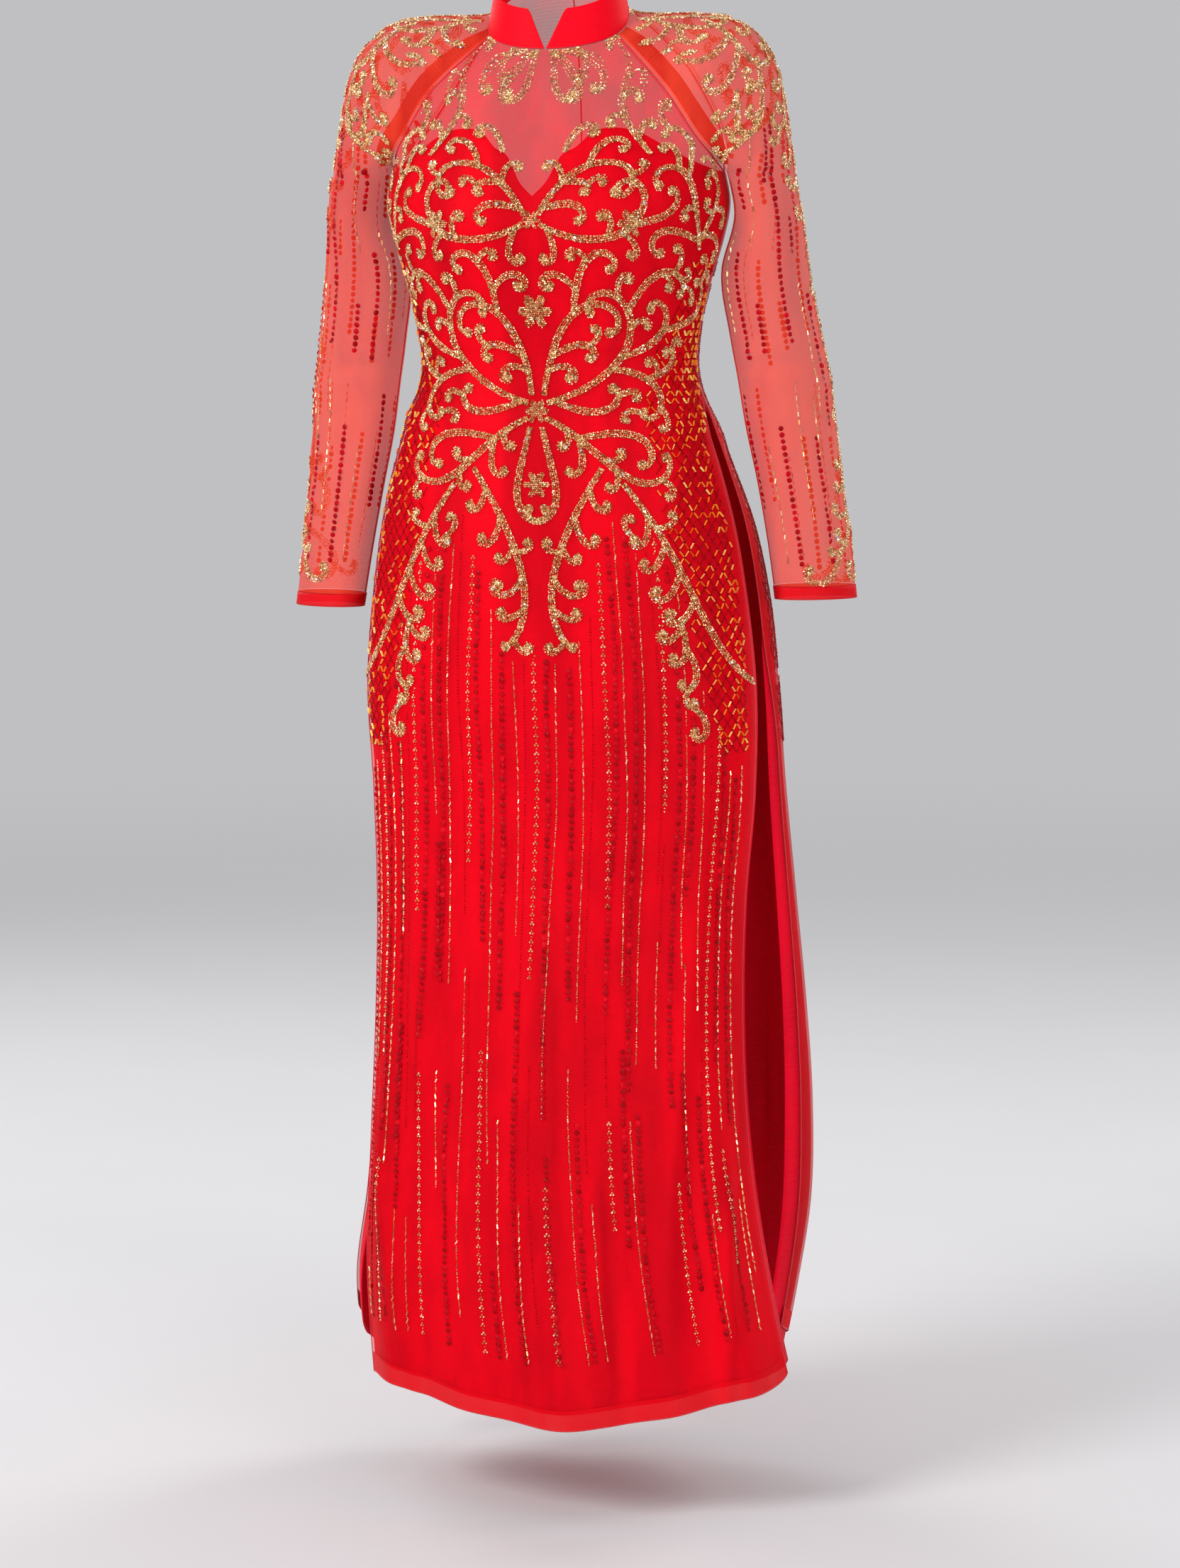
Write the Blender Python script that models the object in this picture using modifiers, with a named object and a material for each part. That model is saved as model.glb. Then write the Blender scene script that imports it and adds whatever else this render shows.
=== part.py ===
"""Ao dai tunic as worn: hollow cloth walls lofted from body, skirt, shoulder and arm tables.

Metres, +Z up, the front faces -Y and +X is the wearer's left. The origin lies on the body's
centre line, level with the sides of the neck. Heights below it are negative.
"""
import math
from collections import namedtuple

import bmesh
import bpy
import numpy as np

# Cloth walls and clearances
NET_WALL = 0.0010
LINING_WALL = 0.0012
BAND_WALL = 0.0016
LINING_DROP = 0.0030
STRIP_DROP = 0.0021
SEAM_INSET = 0.0007

# Neckline ring: half width, middle, half depth, height in front, rise, rise growth, turns
RING_HALF = 0.068
RING_MIDDLE = -0.0045
RING_DEPTH = 0.0595
RING_FRONT_Z = -0.0270
RING_RISE = 0.35
RING_RISE_GROWTH = 2.2
RAGLAN_FRONT_TURN = math.radians(68)
RAGLAN_BACK_TURN = math.radians(115)

COLLAR_HEIGHT_FRONT = 0.037
COLLAR_HEIGHT_BACK = 0.042
COLLAR_LEAN = 0.10
COLLAR_SEAM = 0.0012
COLLAR_COLUMNS = 32

ARMPIT_Z = -0.141
SIDE_ARC = 0.25
NECK_ARC = 0.08
STATION_RISE = 0.03
NECK_COURSE = 4 * STATION_RISE
PANEL_FULLNESS = 0.82
SIDE_SPREAD = 90.0
CHEST_SPREAD = 55.0
CHEST_SPREAD_COURSE = 0.045

CUP_X = 0.076
CUP_Z = -0.198
CUP_DEPTH = 0.016
CUP_WIDTH = 0.050
CUP_HEIGHT = 0.055

SLIT_TOP_Z = -0.350
COLUMNS = 20
NET_MARGIN = 1.6 / COLUMNS
FRONT_MARGIN_Z = (SLIT_TOP_Z, -0.43)
BACK_MARGIN_Z = (-0.58, -0.72)
BACK_LINING_MARGIN = 0.9 / COLUMNS
BACK_LINING_MARGIN_Z = (SLIT_TOP_Z, -0.41, -0.54, -0.62)

SLEEVE_COLUMNS = 16
UNDERARM_CLEAR = 0.0036
UNDERARM_CLEAR_COURSE = 0.060
SLEEVE_END_Z = -0.5548
CUFF_TOP_Z = -0.5554
CUFF_END_Z = -0.5680
STRIP_REACHES = (0.0028, 0.0105, 0.0185)

# One level section of a front or back panel: height, middle, half width, depth, edge's y,
# and the degrees that the panel wraps round from its middle to its side edge
Level = namedtuple("Level", "z centre half depth edge wrap")
FRONT_LEVELS = (
    Level(-0.141, 0.000, 0.162, 0.118, 0.000, 90),
    Level(-0.170, 0.000, 0.167, 0.124, 0.000, 90),
    Level(-0.205, 0.000, 0.161, 0.124, 0.000, 90),
    Level(-0.245, 0.000, 0.149, 0.116, 0.000, 90),
    Level(-0.290, 0.000, 0.139, 0.106, 0.000, 90),
    Level(-0.326, 0.001, 0.1345, 0.101, 0.000, 90),
    Level(-0.350, 0.001, 0.138, 0.101, 0.000, 90),
    Level(-0.380, 0.000, 0.148, 0.104, -0.003, 90),
    Level(-0.430, 0.001, 0.164, 0.109, -0.007, 90),
    Level(-0.480, 0.003, 0.176, 0.114, -0.011, 90),
    Level(-0.550, 0.005, 0.187, 0.119, -0.014, 90),
    Level(-0.640, 0.007, 0.195, 0.122, -0.016, 90),
    Level(-0.740, 0.010, 0.192, 0.124, -0.018, 90),
    Level(-0.850, 0.008, 0.186, 0.128, -0.020, 90),
    Level(-0.960, 0.007, 0.186, 0.136, -0.022, 90),
    Level(-1.090, 0.009, 0.192, 0.147, -0.024, 90),
    Level(-1.220, 0.018, 0.204, 0.158, -0.026, 90),
    Level(-1.345, 0.037, 0.214, 0.166, -0.028, 90),
)
BACK_LEVELS = (
    Level(-0.141, 0.000, 0.162, 0.100, 0.000, 90),
    Level(-0.170, 0.000, 0.167, 0.102, 0.000, 90),
    Level(-0.205, 0.000, 0.161, 0.101, 0.000, 90),
    Level(-0.245, 0.000, 0.149, 0.094, 0.000, 90),
    Level(-0.290, 0.000, 0.139, 0.087, 0.000, 90),
    Level(-0.326, 0.001, 0.1345, 0.086, 0.000, 90),
    Level(-0.350, 0.001, 0.138, 0.090, 0.002, 90),
    Level(-0.380, 0.001, 0.149, 0.097, 0.010, 92),
    Level(-0.430, 0.001, 0.167, 0.110, 0.022, 96),
    Level(-0.480, 0.003, 0.182, 0.120, 0.032, 100),
    Level(-0.550, 0.006, 0.194, 0.127, 0.038, 103),
    Level(-0.640, 0.010, 0.200, 0.128, 0.040, 104),
    Level(-0.740, 0.013, 0.204, 0.129, 0.042, 106),
    Level(-0.850, 0.017, 0.210, 0.132, 0.044, 108),
    Level(-0.960, 0.020, 0.217, 0.139, 0.046, 110),
    Level(-1.060, 0.020, 0.223, 0.146, 0.048, 112),
    Level(-1.160, 0.014, 0.227, 0.154, 0.050, 112),
    Level(-1.250, 0.001, 0.226, 0.160, 0.052, 110),
    Level(-1.345, -0.004, 0.212, 0.164, 0.052, 108),
)

# One station of the shoulder: front seam, outer point, back seam, arm's half depth,
# and the heights and depths of the centre front and centre back at that station
Station = namedtuple("Station", "front outer back depth chest_y chest_z nape_y nape_z")
STATIONS = (
    Station((0.1620, 0.000, -0.141), (0.2292, 0.014, -0.146), (0.162, 0.000, -0.141), 0.050,
            -0.118, -0.141, 0.100, -0.141),
    Station((0.1560, -0.034, -0.126), (0.2220, 0.014, -0.098), (0.155, 0.040, -0.116), 0.056,
            -0.112, -0.117, 0.100, -0.106),
    Station((0.1430, -0.050, -0.107), (0.2065, 0.014, -0.031), (0.140, 0.070, -0.084), 0.062,
            -0.099, -0.091, 0.096, -0.066),
    Station((0.1130, -0.054, -0.062), (0.1610, 0.012, 0.006), (0.105, 0.076, -0.028), 0.065,
            -0.082, -0.060, 0.083, -0.015),
    Station((0.0630, -0.027, -0.0105), (0.0680, 0.000, 0.006), (0.0616, 0.021, 0.019), 0.024,
            -0.064, -0.0270, 0.055, 0.046),
)

# One level section of a sleeve: height, inner x, outer x, middle y, half depth, skew
ArmLevel = namedtuple("ArmLevel", "z inner outer middle depth skew")
ARM_LEVELS = (
    ArmLevel(-0.1435, 0.1656, 0.2292, 0.007, 0.050, 0.00),
    ArmLevel(-0.1810, 0.1712, 0.2350, 0.014, 0.051, 0.02),
    ArmLevel(-0.2400, 0.1565, 0.2418, 0.020, 0.048, 0.05),
    ArmLevel(-0.3050, 0.1634, 0.2510, 0.025, 0.046, 0.10),
    ArmLevel(-0.3470, 0.1700, 0.2580, 0.027, 0.045, 0.15),
    ArmLevel(-0.3950, 0.1770, 0.2625, 0.027, 0.044, 0.20),
    ArmLevel(-0.4500, 0.1880, 0.2680, 0.025, 0.041, 0.26),
    ArmLevel(-0.5040, 0.1975, 0.2750, 0.022, 0.037, 0.32),
    ArmLevel(-0.5700, 0.2075, 0.2820, 0.018, 0.034, 0.38),
)

# How one arm hangs: its cuff's shift outwards and upwards
Pose = namedtuple("Pose", "swing lift")
POSES = {"left": Pose(0.007, 0.0135), "right": Pose(-0.006, 0.0)}

# One soft flute of a hanging panel: place across, half width, depth and where it starts
Flute = namedtuple("Flute", "across width depth top_z")
FRONT_FLUTES = (
    Flute(-0.96, 0.10, 0.010, -0.90),
    Flute(-0.62, 0.12, 0.016, -0.75),
    Flute(-0.30, 0.10, 0.010, -0.95),
    Flute(0.02, 0.13, 0.024, -0.62),
    Flute(0.36, 0.10, 0.012, -0.85),
    Flute(0.68, 0.11, 0.017, -0.70),
    Flute(0.98, 0.09, 0.012, -0.95),
)
BACK_FLUTES = (
    Flute(-0.88, 0.12, 0.018, -0.60),
    Flute(-0.45, 0.13, 0.022, -0.70),
    Flute(-0.06, 0.12, 0.014, -0.85),
    Flute(0.34, 0.12, 0.024, -0.62),
    Flute(0.82, 0.13, 0.020, -0.55),
)
FLUTE_END_Z = -1.345

# Half of the lining's top edge over the bust: distance from the centre front and height
Edge = namedtuple("Edge", "x z")
SWEETHEART = (
    Edge(0.000, -0.167),
    Edge(0.013, -0.153),
    Edge(0.026, -0.129),
    Edge(0.040, -0.120),
    Edge(0.055, -0.105),
    Edge(0.072, -0.1015),
    Edge(0.092, -0.104),
    Edge(0.124, -0.121),
    Edge(0.146, -0.133),
    Edge(0.162, -0.141),
)
BACK_LINING_SCOOP = 0.052

# One row of the collar from the top down: share of its height and the notch's half turn
CollarRow = namedtuple("CollarRow", "height notch")
COLLAR_ROWS = (
    CollarRow(1.00, 0.320),
    CollarRow(0.90, 0.262),
    CollarRow(0.45, 0.130),
    CollarRow(0.00, 0.012),
)

BODY_RISES = (0.0, 0.012, 0.024, 0.038, 0.053, 0.068, 0.083, 0.097, 0.110, NECK_COURSE)
BODY_HEIGHTS = (-0.163, -0.186, -0.210, -0.245, -0.290, -0.326, -0.350, -0.385, -0.430,
                -0.480, -0.550, -0.640, -0.735, -0.835, -0.935, -1.035, -1.135, -1.235)
LINING_STEPS = 4

# One hem: its height, how far it bows up beside the middle, and how far its corners rise
# on the wearer's right and left
Hem = namedtuple("Hem", "z bow right_raise left_raise")
FRONT_NET_HEM = Hem(-1.345, 0.025, -0.012, 0.022)
FRONT_LINING_HEM = Hem(-1.330, 0.025, -0.010, 0.006)
BACK_NET_HEM = Hem(-1.315, 0.008, 0.044, 0.044)
BACK_LINING_HEM = Hem(-1.343, 0.008, 0.054, 0.054)
HEM_BOW_END = 0.7
HEM_ROUNDING = 7.0

# Look of each cloth: colour, alpha, roughness
Finish = namedtuple("Finish", "colour alpha roughness")
CRIMSON_NET = Finish((0.70, 0.02, 0.03, 1.0), 0.55, 0.60)
RED_CREPE = Finish((0.85, 0.00, 0.02, 1.0), 1.00, 0.62)
DEEP_CREPE = Finish((0.72, 0.00, 0.03, 1.0), 1.00, 0.66)


def ease(value):
    """Smooth step from 0 to 1 as value goes from 0 to 1."""
    value = min(max(value, 0.0), 1.0)
    return value * value * (3.0 - 2.0 * value)


def smooth(knots, values, at):
    """Value at one place of a smooth curve through rows of a table, knots rising."""
    knots = np.asarray(knots, dtype=float)
    values = np.asarray(values, dtype=float)
    slopes = np.gradient(values, knots, axis=0)
    at = min(max(at, knots[0]), knots[-1])
    row = min(int(np.searchsorted(knots, at, side="right")) - 1, len(knots) - 2)
    span = knots[row + 1] - knots[row]
    t = (at - knots[row]) / span
    start = values[row] * (1 + 2 * t) * (1 - t) ** 2 + slopes[row] * span * t * (1 - t) ** 2
    end = values[row + 1] * t * t * (3 - 2 * t) + slopes[row + 1] * span * t * t * (t - 1)
    return start + end


def level_at(levels, z):
    """Interpolated row of a table of levels, which run downwards."""
    rows = [tuple(level)[1:] for level in levels]
    values = smooth([-level.z for level in levels], rows, -z)
    return type(levels[0])(z, *values)


def station_at(course):
    """Interpolated shoulder station at a course above the armpit."""
    place = course / STATION_RISE
    knots = range(len(STATIONS))
    return Station(*(smooth(knots, [row[i] for row in STATIONS], place) for i in range(8)))


def ring_point(turn):
    """Point of the neckline ring, turn 0 at the centre front, growing to the left."""
    y = RING_MIDDLE - RING_DEPTH * math.cos(turn)
    run = y - (RING_MIDDLE - RING_DEPTH)
    z = RING_FRONT_Z + RING_RISE * run + RING_RISE_GROWTH * run * run
    return np.array((RING_HALF * math.sin(turn), y, z))


def neck_blend(course):
    """How far a course near the neck has turned into the neckline ring."""
    return ease((course - 3 * STATION_RISE) / STATION_RISE)


def cup(x, z):
    """Depth that the bust darts give the front at a place."""
    across = (abs(x) - CUP_X) / CUP_WIDTH
    along = (z - CUP_Z) / CUP_HEIGHT
    return CUP_DEPTH * math.exp(-across * across - along * along)


def flute_depth(flutes, u, z):
    """Depth that the hanging flutes give a panel at a place."""
    total = 0.0
    for flute in flutes:
        grown = ease((flute.top_z - z) / (flute.top_z - FLUTE_END_Z))
        total += flute.depth * grown * math.exp(-(((u - flute.across) / flute.width) ** 2))
    return total


def shoulder_row(course, u, seam, middle_y, middle_z):
    """Point of a body row above the armpit, between its seam points and its middle."""
    opened = ease(course / CHEST_SPREAD_COURSE)
    spread = math.radians(SIDE_SPREAD + (CHEST_SPREAD - SIDE_SPREAD) * opened)
    edge = max(math.cos(spread), 0.0) ** PANEL_FULLNESS
    bulge = (max(math.cos(u * spread), 0.0) ** PANEL_FULLNESS - edge) / (1 - edge)
    return np.array((seam[0] * math.sin(u * spread) / math.sin(spread),
                     seam[1] + (middle_y - seam[1]) * bulge,
                     seam[2] + (middle_z - seam[2]) * bulge))


def panel_row(row, u, facing):
    """Point of a level body row, facing -1 for the front and 1 for the back."""
    angle = math.radians(u * row.wrap)
    side = math.cos(angle)
    bulge = math.copysign(abs(side) ** PANEL_FULLNESS, side)
    return np.array((row.centre + row.half * math.sin(angle),
                     row.edge + (facing * row.depth - row.edge) * bulge,
                     row.z))


def front_point(course, u):
    """Point of the front at a course, metres from the armpit's level, u -1 to 1 across."""
    if course >= 0:
        row = station_at(course)
        point = shoulder_row(course, u, row.front, row.chest_y, row.chest_z)
        point += (ring_point(u * RAGLAN_FRONT_TURN) - point) * neck_blend(course)
    else:
        point = panel_row(level_at(FRONT_LEVELS, ARMPIT_Z + course), u, -1)
    bulge = max(math.cos(u * math.pi / 2), 0.0)
    point[1] -= cup(point[0], point[2]) * (1 - neck_blend(course)) * bulge
    point[1] -= flute_depth(FRONT_FLUTES, u, point[2])
    return point


def back_point(course, u):
    """Point of the back at a course, metres from the armpit's level, u -1 to 1 across."""
    if course >= 0:
        row = station_at(course)
        point = shoulder_row(course, u, row.back, row.nape_y, row.nape_z)
        ring = ring_point(math.pi - u * (math.pi - RAGLAN_BACK_TURN))
        point += (ring - point) * neck_blend(course)
    else:
        point = panel_row(level_at(BACK_LEVELS, ARMPIT_Z + course), u, 1)
    point[1] += flute_depth(BACK_FLUTES, u, point[2])
    return point


def arm_ring_point(course, w, pose):
    """Point of a closed sleeve ring below the armpit."""
    row = level_at(ARM_LEVELS, ARM_LEVELS[0].z + course)
    angle = math.radians(-90 + 360 * w)
    reach = (row.outer - row.inner) / 2
    hung = ease(course / (CUFF_END_Z - ARM_LEVELS[0].z))
    x = (row.inner + row.outer) / 2 + pose.swing * hung + reach * math.sin(angle)
    y = row.middle + row.skew * reach * math.sin(angle) - row.depth * math.cos(angle)
    return np.array((x, y, row.z + pose.lift * hung))


def cap_point(course, w):
    """Point of the sleeve's cap, an open arc from the front seam over the shoulder."""
    row = station_at(course)
    clear = UNDERARM_CLEAR * (1 - ease(course / UNDERARM_CLEAR_COURSE))
    front = row.front + np.array((clear, 0.0, 0.0))
    back = row.back + np.array((clear, 0.0, 0.0))
    middle = (front + back) / 2
    rise = row.outer - middle
    chord = front - back
    half_chord = np.linalg.norm(chord) / 2
    forward = chord / (2 * half_chord) if course > 0 else np.array((0.0, -1.0, 0.0))
    depth = max(row.depth, half_chord)
    under = math.acos(min(half_chord / depth, 1.0))
    share = math.sin(under) / (1 + math.sin(under))
    inset = SEAM_INSET / depth if course > 0 else 0.0
    turn_inset = SEAM_INSET / RING_HALF
    angle = -under + inset + (math.pi + 2 * under - 2 * inset) * w
    point = middle + rise * (share + (1 - share) * math.sin(angle))
    point += forward * depth * math.cos(angle)
    front_turn = RAGLAN_FRONT_TURN + turn_inset
    turn = front_turn + (RAGLAN_BACK_TURN - turn_inset - front_turn) * w
    return point + (ring_point(turn) - point) * neck_blend(course)


def sleeve_point(course, w, pose):
    """Point of a left sleeve, w 0 to 1 round it from the underarm or the front seam."""
    if course < 0:
        return arm_ring_point(course, w, pose)
    return cap_point(course, w)


def sweetheart_course(u):
    """Course at which a column of the front meets the lining's top edge."""
    low, high = -0.060, 2.5 * STATION_RISE
    for _ in range(40):
        middle = (low + high) / 2
        point = front_point(middle, u)
        edge_z = smooth([edge.x for edge in SWEETHEART], [edge.z for edge in SWEETHEART],
                        abs(point[0]))
        if point[2] < edge_z:
            low = middle
        else:
            high = middle
    return low


def seam_edge(z):
    """Place of a sewn edge at any height, drawn in by the seam's clearance."""
    return 1 - SEAM_INSET / SIDE_ARC


def seam_place(course):
    """Place of the raglan seam's edge, whose clearance is a larger share near the neck."""
    arc = SIDE_ARC + (NECK_ARC - SIDE_ARC) * ease(course / NECK_COURSE)
    return 1 - SEAM_INSET / arc


def across_places(edge_u):
    """Places across a panel: even columns, the outermost drawn in to the given edge."""
    places = [-1 + 2 * column / COLUMNS for column in range(COLUMNS + 1)]
    places[0] = -edge_u
    places[-1] = edge_u
    return places


def drawn_in(z, margin, top_z, end_z):
    """How far an edge has drawn in to its margin at a height, starting at top_z."""
    return margin * ease((top_z - z) / (top_z - end_z))


def front_net_edge(z):
    """Place of the front net's side edge: sewn above, narrower in the skirt."""
    return seam_edge(z) - drawn_in(z, NET_MARGIN, *FRONT_MARGIN_Z)


def back_net_edge(z):
    """Place of the back net's side edge."""
    return seam_edge(z) - drawn_in(z, NET_MARGIN, *BACK_MARGIN_Z)


def back_lining_edge(z):
    """Place of the back lining's side edge, a little short of the net's over the hip."""
    in_z, full_z, out_z, end_z = BACK_LINING_MARGIN_Z
    drawn = drawn_in(z, BACK_LINING_MARGIN, in_z, full_z)
    return seam_edge(z) - drawn + drawn_in(z, BACK_LINING_MARGIN, out_z, end_z)


def hem_raise(hem, u):
    """How far a hem rises at a place across: its bow and its rounded corners."""
    corner = hem.left_raise if u > 0 else hem.right_raise
    return hem.bow * ease(abs(u) / HEM_BOW_END) + corner * abs(u) ** HEM_ROUNDING


def panel_grid(point_at, tops, heights, hem, edge_at):
    """Grid of a panel: courses from its top edge down to its hem.

    tops gives each column's courses above the first height, highest first.
    """
    rows = []
    for step, course in enumerate(tops(0.0)):
        places = across_places(seam_place(max(course, 0.0)))
        rows.append([point_at(tops(u)[step], u) for u in places])
    for z in (*heights, hem.z):
        near_hem = ease((heights[-3] - z) / (heights[-3] - hem.z))
        rows.append([point_at(z - ARMPIT_Z + near_hem * hem_raise(hem, u), u)
                     for u in across_places(edge_at(z))])
    return np.array(rows)


def moved(grid, distance):
    """Grid moved along its own normals, outwards when the distance is positive."""
    down = np.gradient(grid, axis=0)
    along = np.gradient(grid, axis=1)
    normals = np.cross(down, along)
    normals /= np.linalg.norm(normals, axis=2, keepdims=True)
    return grid + normals * distance


def material(name, finish):
    """Principled material of one cloth."""
    made = bpy.data.materials.new(name)
    made.use_nodes = True
    shader = made.node_tree.nodes["Principled BSDF"]
    shader.inputs["Base Color"].default_value = finish.colour
    shader.inputs["Alpha"].default_value = finish.alpha
    shader.inputs["Roughness"].default_value = finish.roughness
    shader.inputs["Metallic"].default_value = 0.0
    return made


def cloth(name, grid, wall, finish, first_ring=None, mirror=False):
    """Object of one cloth piece: an open surface over a grid, made a wall by Solidify.

    From the row first_ring on, rows are rings, whose last column is their first. With
    mirror, a grid of the wearer's left side makes the right side's piece.
    """
    rows, columns = grid.shape[:2]
    if mirror:
        grid = grid * np.array((-1.0, 1.0, 1.0))
    mesh = bmesh.new()
    corners = []
    for row in range(rows):
        made = [mesh.verts.new(point) for point in grid[row]]
        if first_ring is not None and row >= first_ring:
            mesh.verts.remove(made[-1])
            made[-1] = made[0]
        corners.append(made)
    for row in range(rows - 1):
        for column in range(columns - 1):
            quad = (corners[row][column], corners[row + 1][column],
                    corners[row + 1][column + 1], corners[row][column + 1])
            mesh.faces.new((quad[0], quad[3], quad[2], quad[1]) if mirror else quad)
    data = bpy.data.meshes.new(name)
    mesh.to_mesh(data)
    mesh.free()
    data.shade_smooth()
    data.materials.append(material(name + "_cloth", finish))
    made = bpy.data.objects.new(name, data)
    wall_modifier = made.modifiers.new("wall", "SOLIDIFY")
    wall_modifier.thickness = wall
    wall_modifier.offset = 0.0
    bpy.data.collections["ao_dai_tunic"].objects.link(made)
    return made


def build_front():
    """Front net from collar to hem, and the front lining under it from the sweetheart edge."""
    net = panel_grid(front_point, lambda u: BODY_RISES[::-1], BODY_HEIGHTS, FRONT_NET_HEM,
                     front_net_edge)
    cloth("front_net", net, NET_WALL, CRIMSON_NET)
    low = BODY_HEIGHTS[1] - ARMPIT_Z

    def tops(u):
        top = sweetheart_course(u)
        return [top + (low - top) * step / LINING_STEPS for step in range(LINING_STEPS)]

    lining = panel_grid(front_point, tops, BODY_HEIGHTS[1:], FRONT_LINING_HEM, seam_edge)
    cloth("front_lining", moved(lining, -LINING_DROP), LINING_WALL, RED_CREPE)


def build_back():
    """Back net from collar to hem, and the back lining under it from its low scooped top."""
    net = panel_grid(back_point, lambda u: BODY_RISES[::-1], BODY_HEIGHTS, BACK_NET_HEM,
                     back_net_edge)
    cloth("back_net", net[:, ::-1], NET_WALL, CRIMSON_NET)

    low = BODY_HEIGHTS[2] - ARMPIT_Z

    def tops(u):
        top = -BACK_LINING_SCOOP * math.cos(u * math.pi / 2) ** 2
        return [top + (low - top) * step / LINING_STEPS for step in range(LINING_STEPS)]

    lining = panel_grid(back_point, tops, BODY_HEIGHTS[2:], BACK_LINING_HEM, back_lining_edge)
    cloth("back_lining", moved(lining[:, ::-1], -LINING_DROP), LINING_WALL, DEEP_CREPE)


def sleeve_grid(courses, pose):
    """Grid of a left sleeve or a part of it over the given courses, highest first."""
    places = np.linspace(0, 1, SLEEVE_COLUMNS + 1)
    return np.array([[sleeve_point(course, w, pose) for w in places] for course in courses])


def strip_grid(pose):
    """Grid of a left raglan strip, laid on the sleeve's facets at set reaches and moved in."""
    rows = []
    for row in sleeve_grid(BODY_RISES[:0:-1], pose):
        steps = np.linalg.norm(np.diff(row, axis=0), axis=1)
        run = np.concatenate(([0.0], np.cumsum(steps)))
        rows.append(np.stack([np.interp(STRIP_REACHES, run, axis) for axis in row.T], axis=1))
    return moved(np.array(rows), -STRIP_DROP)


def build_sleeve(side):
    """Sleeve, cuff band and raglan strip of one side."""
    pose = POSES[side]
    right = side == "right"
    top_z = ARM_LEVELS[0].z
    rings = [0.0, *(level.z - top_z for level in ARM_LEVELS[1:-1]), SLEEVE_END_Z - top_z]
    caps = BODY_RISES[:0:-1]
    sleeve = sleeve_grid((*caps, *rings), pose)
    cloth("sleeve_" + side, sleeve, NET_WALL, CRIMSON_NET, len(caps), right)
    band = sleeve_grid((CUFF_TOP_Z - top_z, CUFF_END_Z - top_z), pose)
    cloth("cuff_" + side, band, BAND_WALL, RED_CREPE, 0, right)
    cloth("raglan_strip_" + side, strip_grid(pose), NET_WALL, RED_CREPE, mirror=right)


def collar_point(turn, height):
    """Point of the stand collar, height 0 at the neck seam to 1 at its top edge."""
    base = ring_point(turn)
    back = (1 - math.cos(turn)) / 2
    tall = COLLAR_HEIGHT_FRONT + (COLLAR_HEIGHT_BACK - COLLAR_HEIGHT_FRONT) * back
    middle = np.array((0.0, RING_MIDDLE, base[2]))
    leaning = base + (middle - base) * COLLAR_LEAN * height
    return leaning + np.array((0.0, 0.0, COLLAR_SEAM + tall * height))


def build_collar():
    """Stand collar: a leaning band round the neck, its front ends parting in a narrow V."""
    rows = []
    for row in COLLAR_ROWS:
        turns = np.linspace(row.notch, 2 * math.pi - row.notch, COLLAR_COLUMNS + 1)
        rows.append([collar_point(turn, row.height) for turn in turns])
    cloth("collar", np.array(rows), BAND_WALL, RED_CREPE)


def main():
    """Clear the scene and build every piece of the tunic."""
    for old in list(bpy.data.objects):
        bpy.data.objects.remove(old)
    group = bpy.data.collections.new("ao_dai_tunic")
    bpy.context.scene.collection.children.link(group)
    build_front()
    build_back()
    build_collar()
    for side in POSES:
        build_sleeve(side)


main()
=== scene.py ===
"""Looks of the ao dai tunic: net, crepe, seams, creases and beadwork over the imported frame.

Metres, +Z up, the front faces -Y and +X is the wearer's left. A course is a height along the
cloth from the armpit's level, u is a place across a panel from -1 to 1, and w is a place
round a sleeve from 0 at its front seam to 1 at its back seam.
"""

import logging
import math
from dataclasses import dataclass
from enum import Enum
from typing import Callable, NamedTuple, Sequence

import bpy
import numpy as np
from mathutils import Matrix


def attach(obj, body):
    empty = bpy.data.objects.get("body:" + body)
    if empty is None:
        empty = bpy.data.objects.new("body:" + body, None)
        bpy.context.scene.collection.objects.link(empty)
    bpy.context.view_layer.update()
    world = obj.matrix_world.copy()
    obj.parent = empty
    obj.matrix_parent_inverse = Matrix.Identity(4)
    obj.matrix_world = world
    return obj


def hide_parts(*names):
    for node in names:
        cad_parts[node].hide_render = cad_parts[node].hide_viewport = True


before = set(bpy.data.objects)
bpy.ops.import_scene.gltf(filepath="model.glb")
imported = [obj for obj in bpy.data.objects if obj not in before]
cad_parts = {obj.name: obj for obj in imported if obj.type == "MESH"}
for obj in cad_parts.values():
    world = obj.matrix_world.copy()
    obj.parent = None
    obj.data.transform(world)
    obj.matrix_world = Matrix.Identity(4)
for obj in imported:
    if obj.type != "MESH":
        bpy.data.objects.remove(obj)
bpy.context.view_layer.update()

LOG = logging.getLogger("ao_dai")
BODY = "root"
SEED = 20

Array = np.ndarray
Colour = tuple[float, float, float, float]
Point = tuple[float, float]
Size = tuple[float, float, float]


class Level(NamedTuple):
    """Level section of a panel: middle, half width, depth, edge's y, degrees wrapped."""

    z: float
    centre: float
    half: float
    depth: float
    edge: float
    wrap: float


class Station(NamedTuple):
    """Section of the shoulder: seam points, outer point, arm's depth and body's middles."""

    front: tuple[float, float, float]
    outer: tuple[float, float, float]
    back: tuple[float, float, float]
    depth: float
    chest_y: float
    chest_z: float
    nape_y: float
    nape_z: float


class ArmLevel(NamedTuple):
    """Level section of a sleeve: inner and outer x, middle y, half depth and skew."""

    z: float
    inner: float
    outer: float
    middle: float
    depth: float
    skew: float


class Flute(NamedTuple):
    """Soft flute of a hanging panel: place across, half width, depth and its top."""

    across: float
    width: float
    depth: float
    top_z: float


class Hem(NamedTuple):
    """Hem: its height, its bow beside the middle and the rise of its two corners."""

    z: float
    bow: float
    right_raise: float
    left_raise: float


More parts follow.
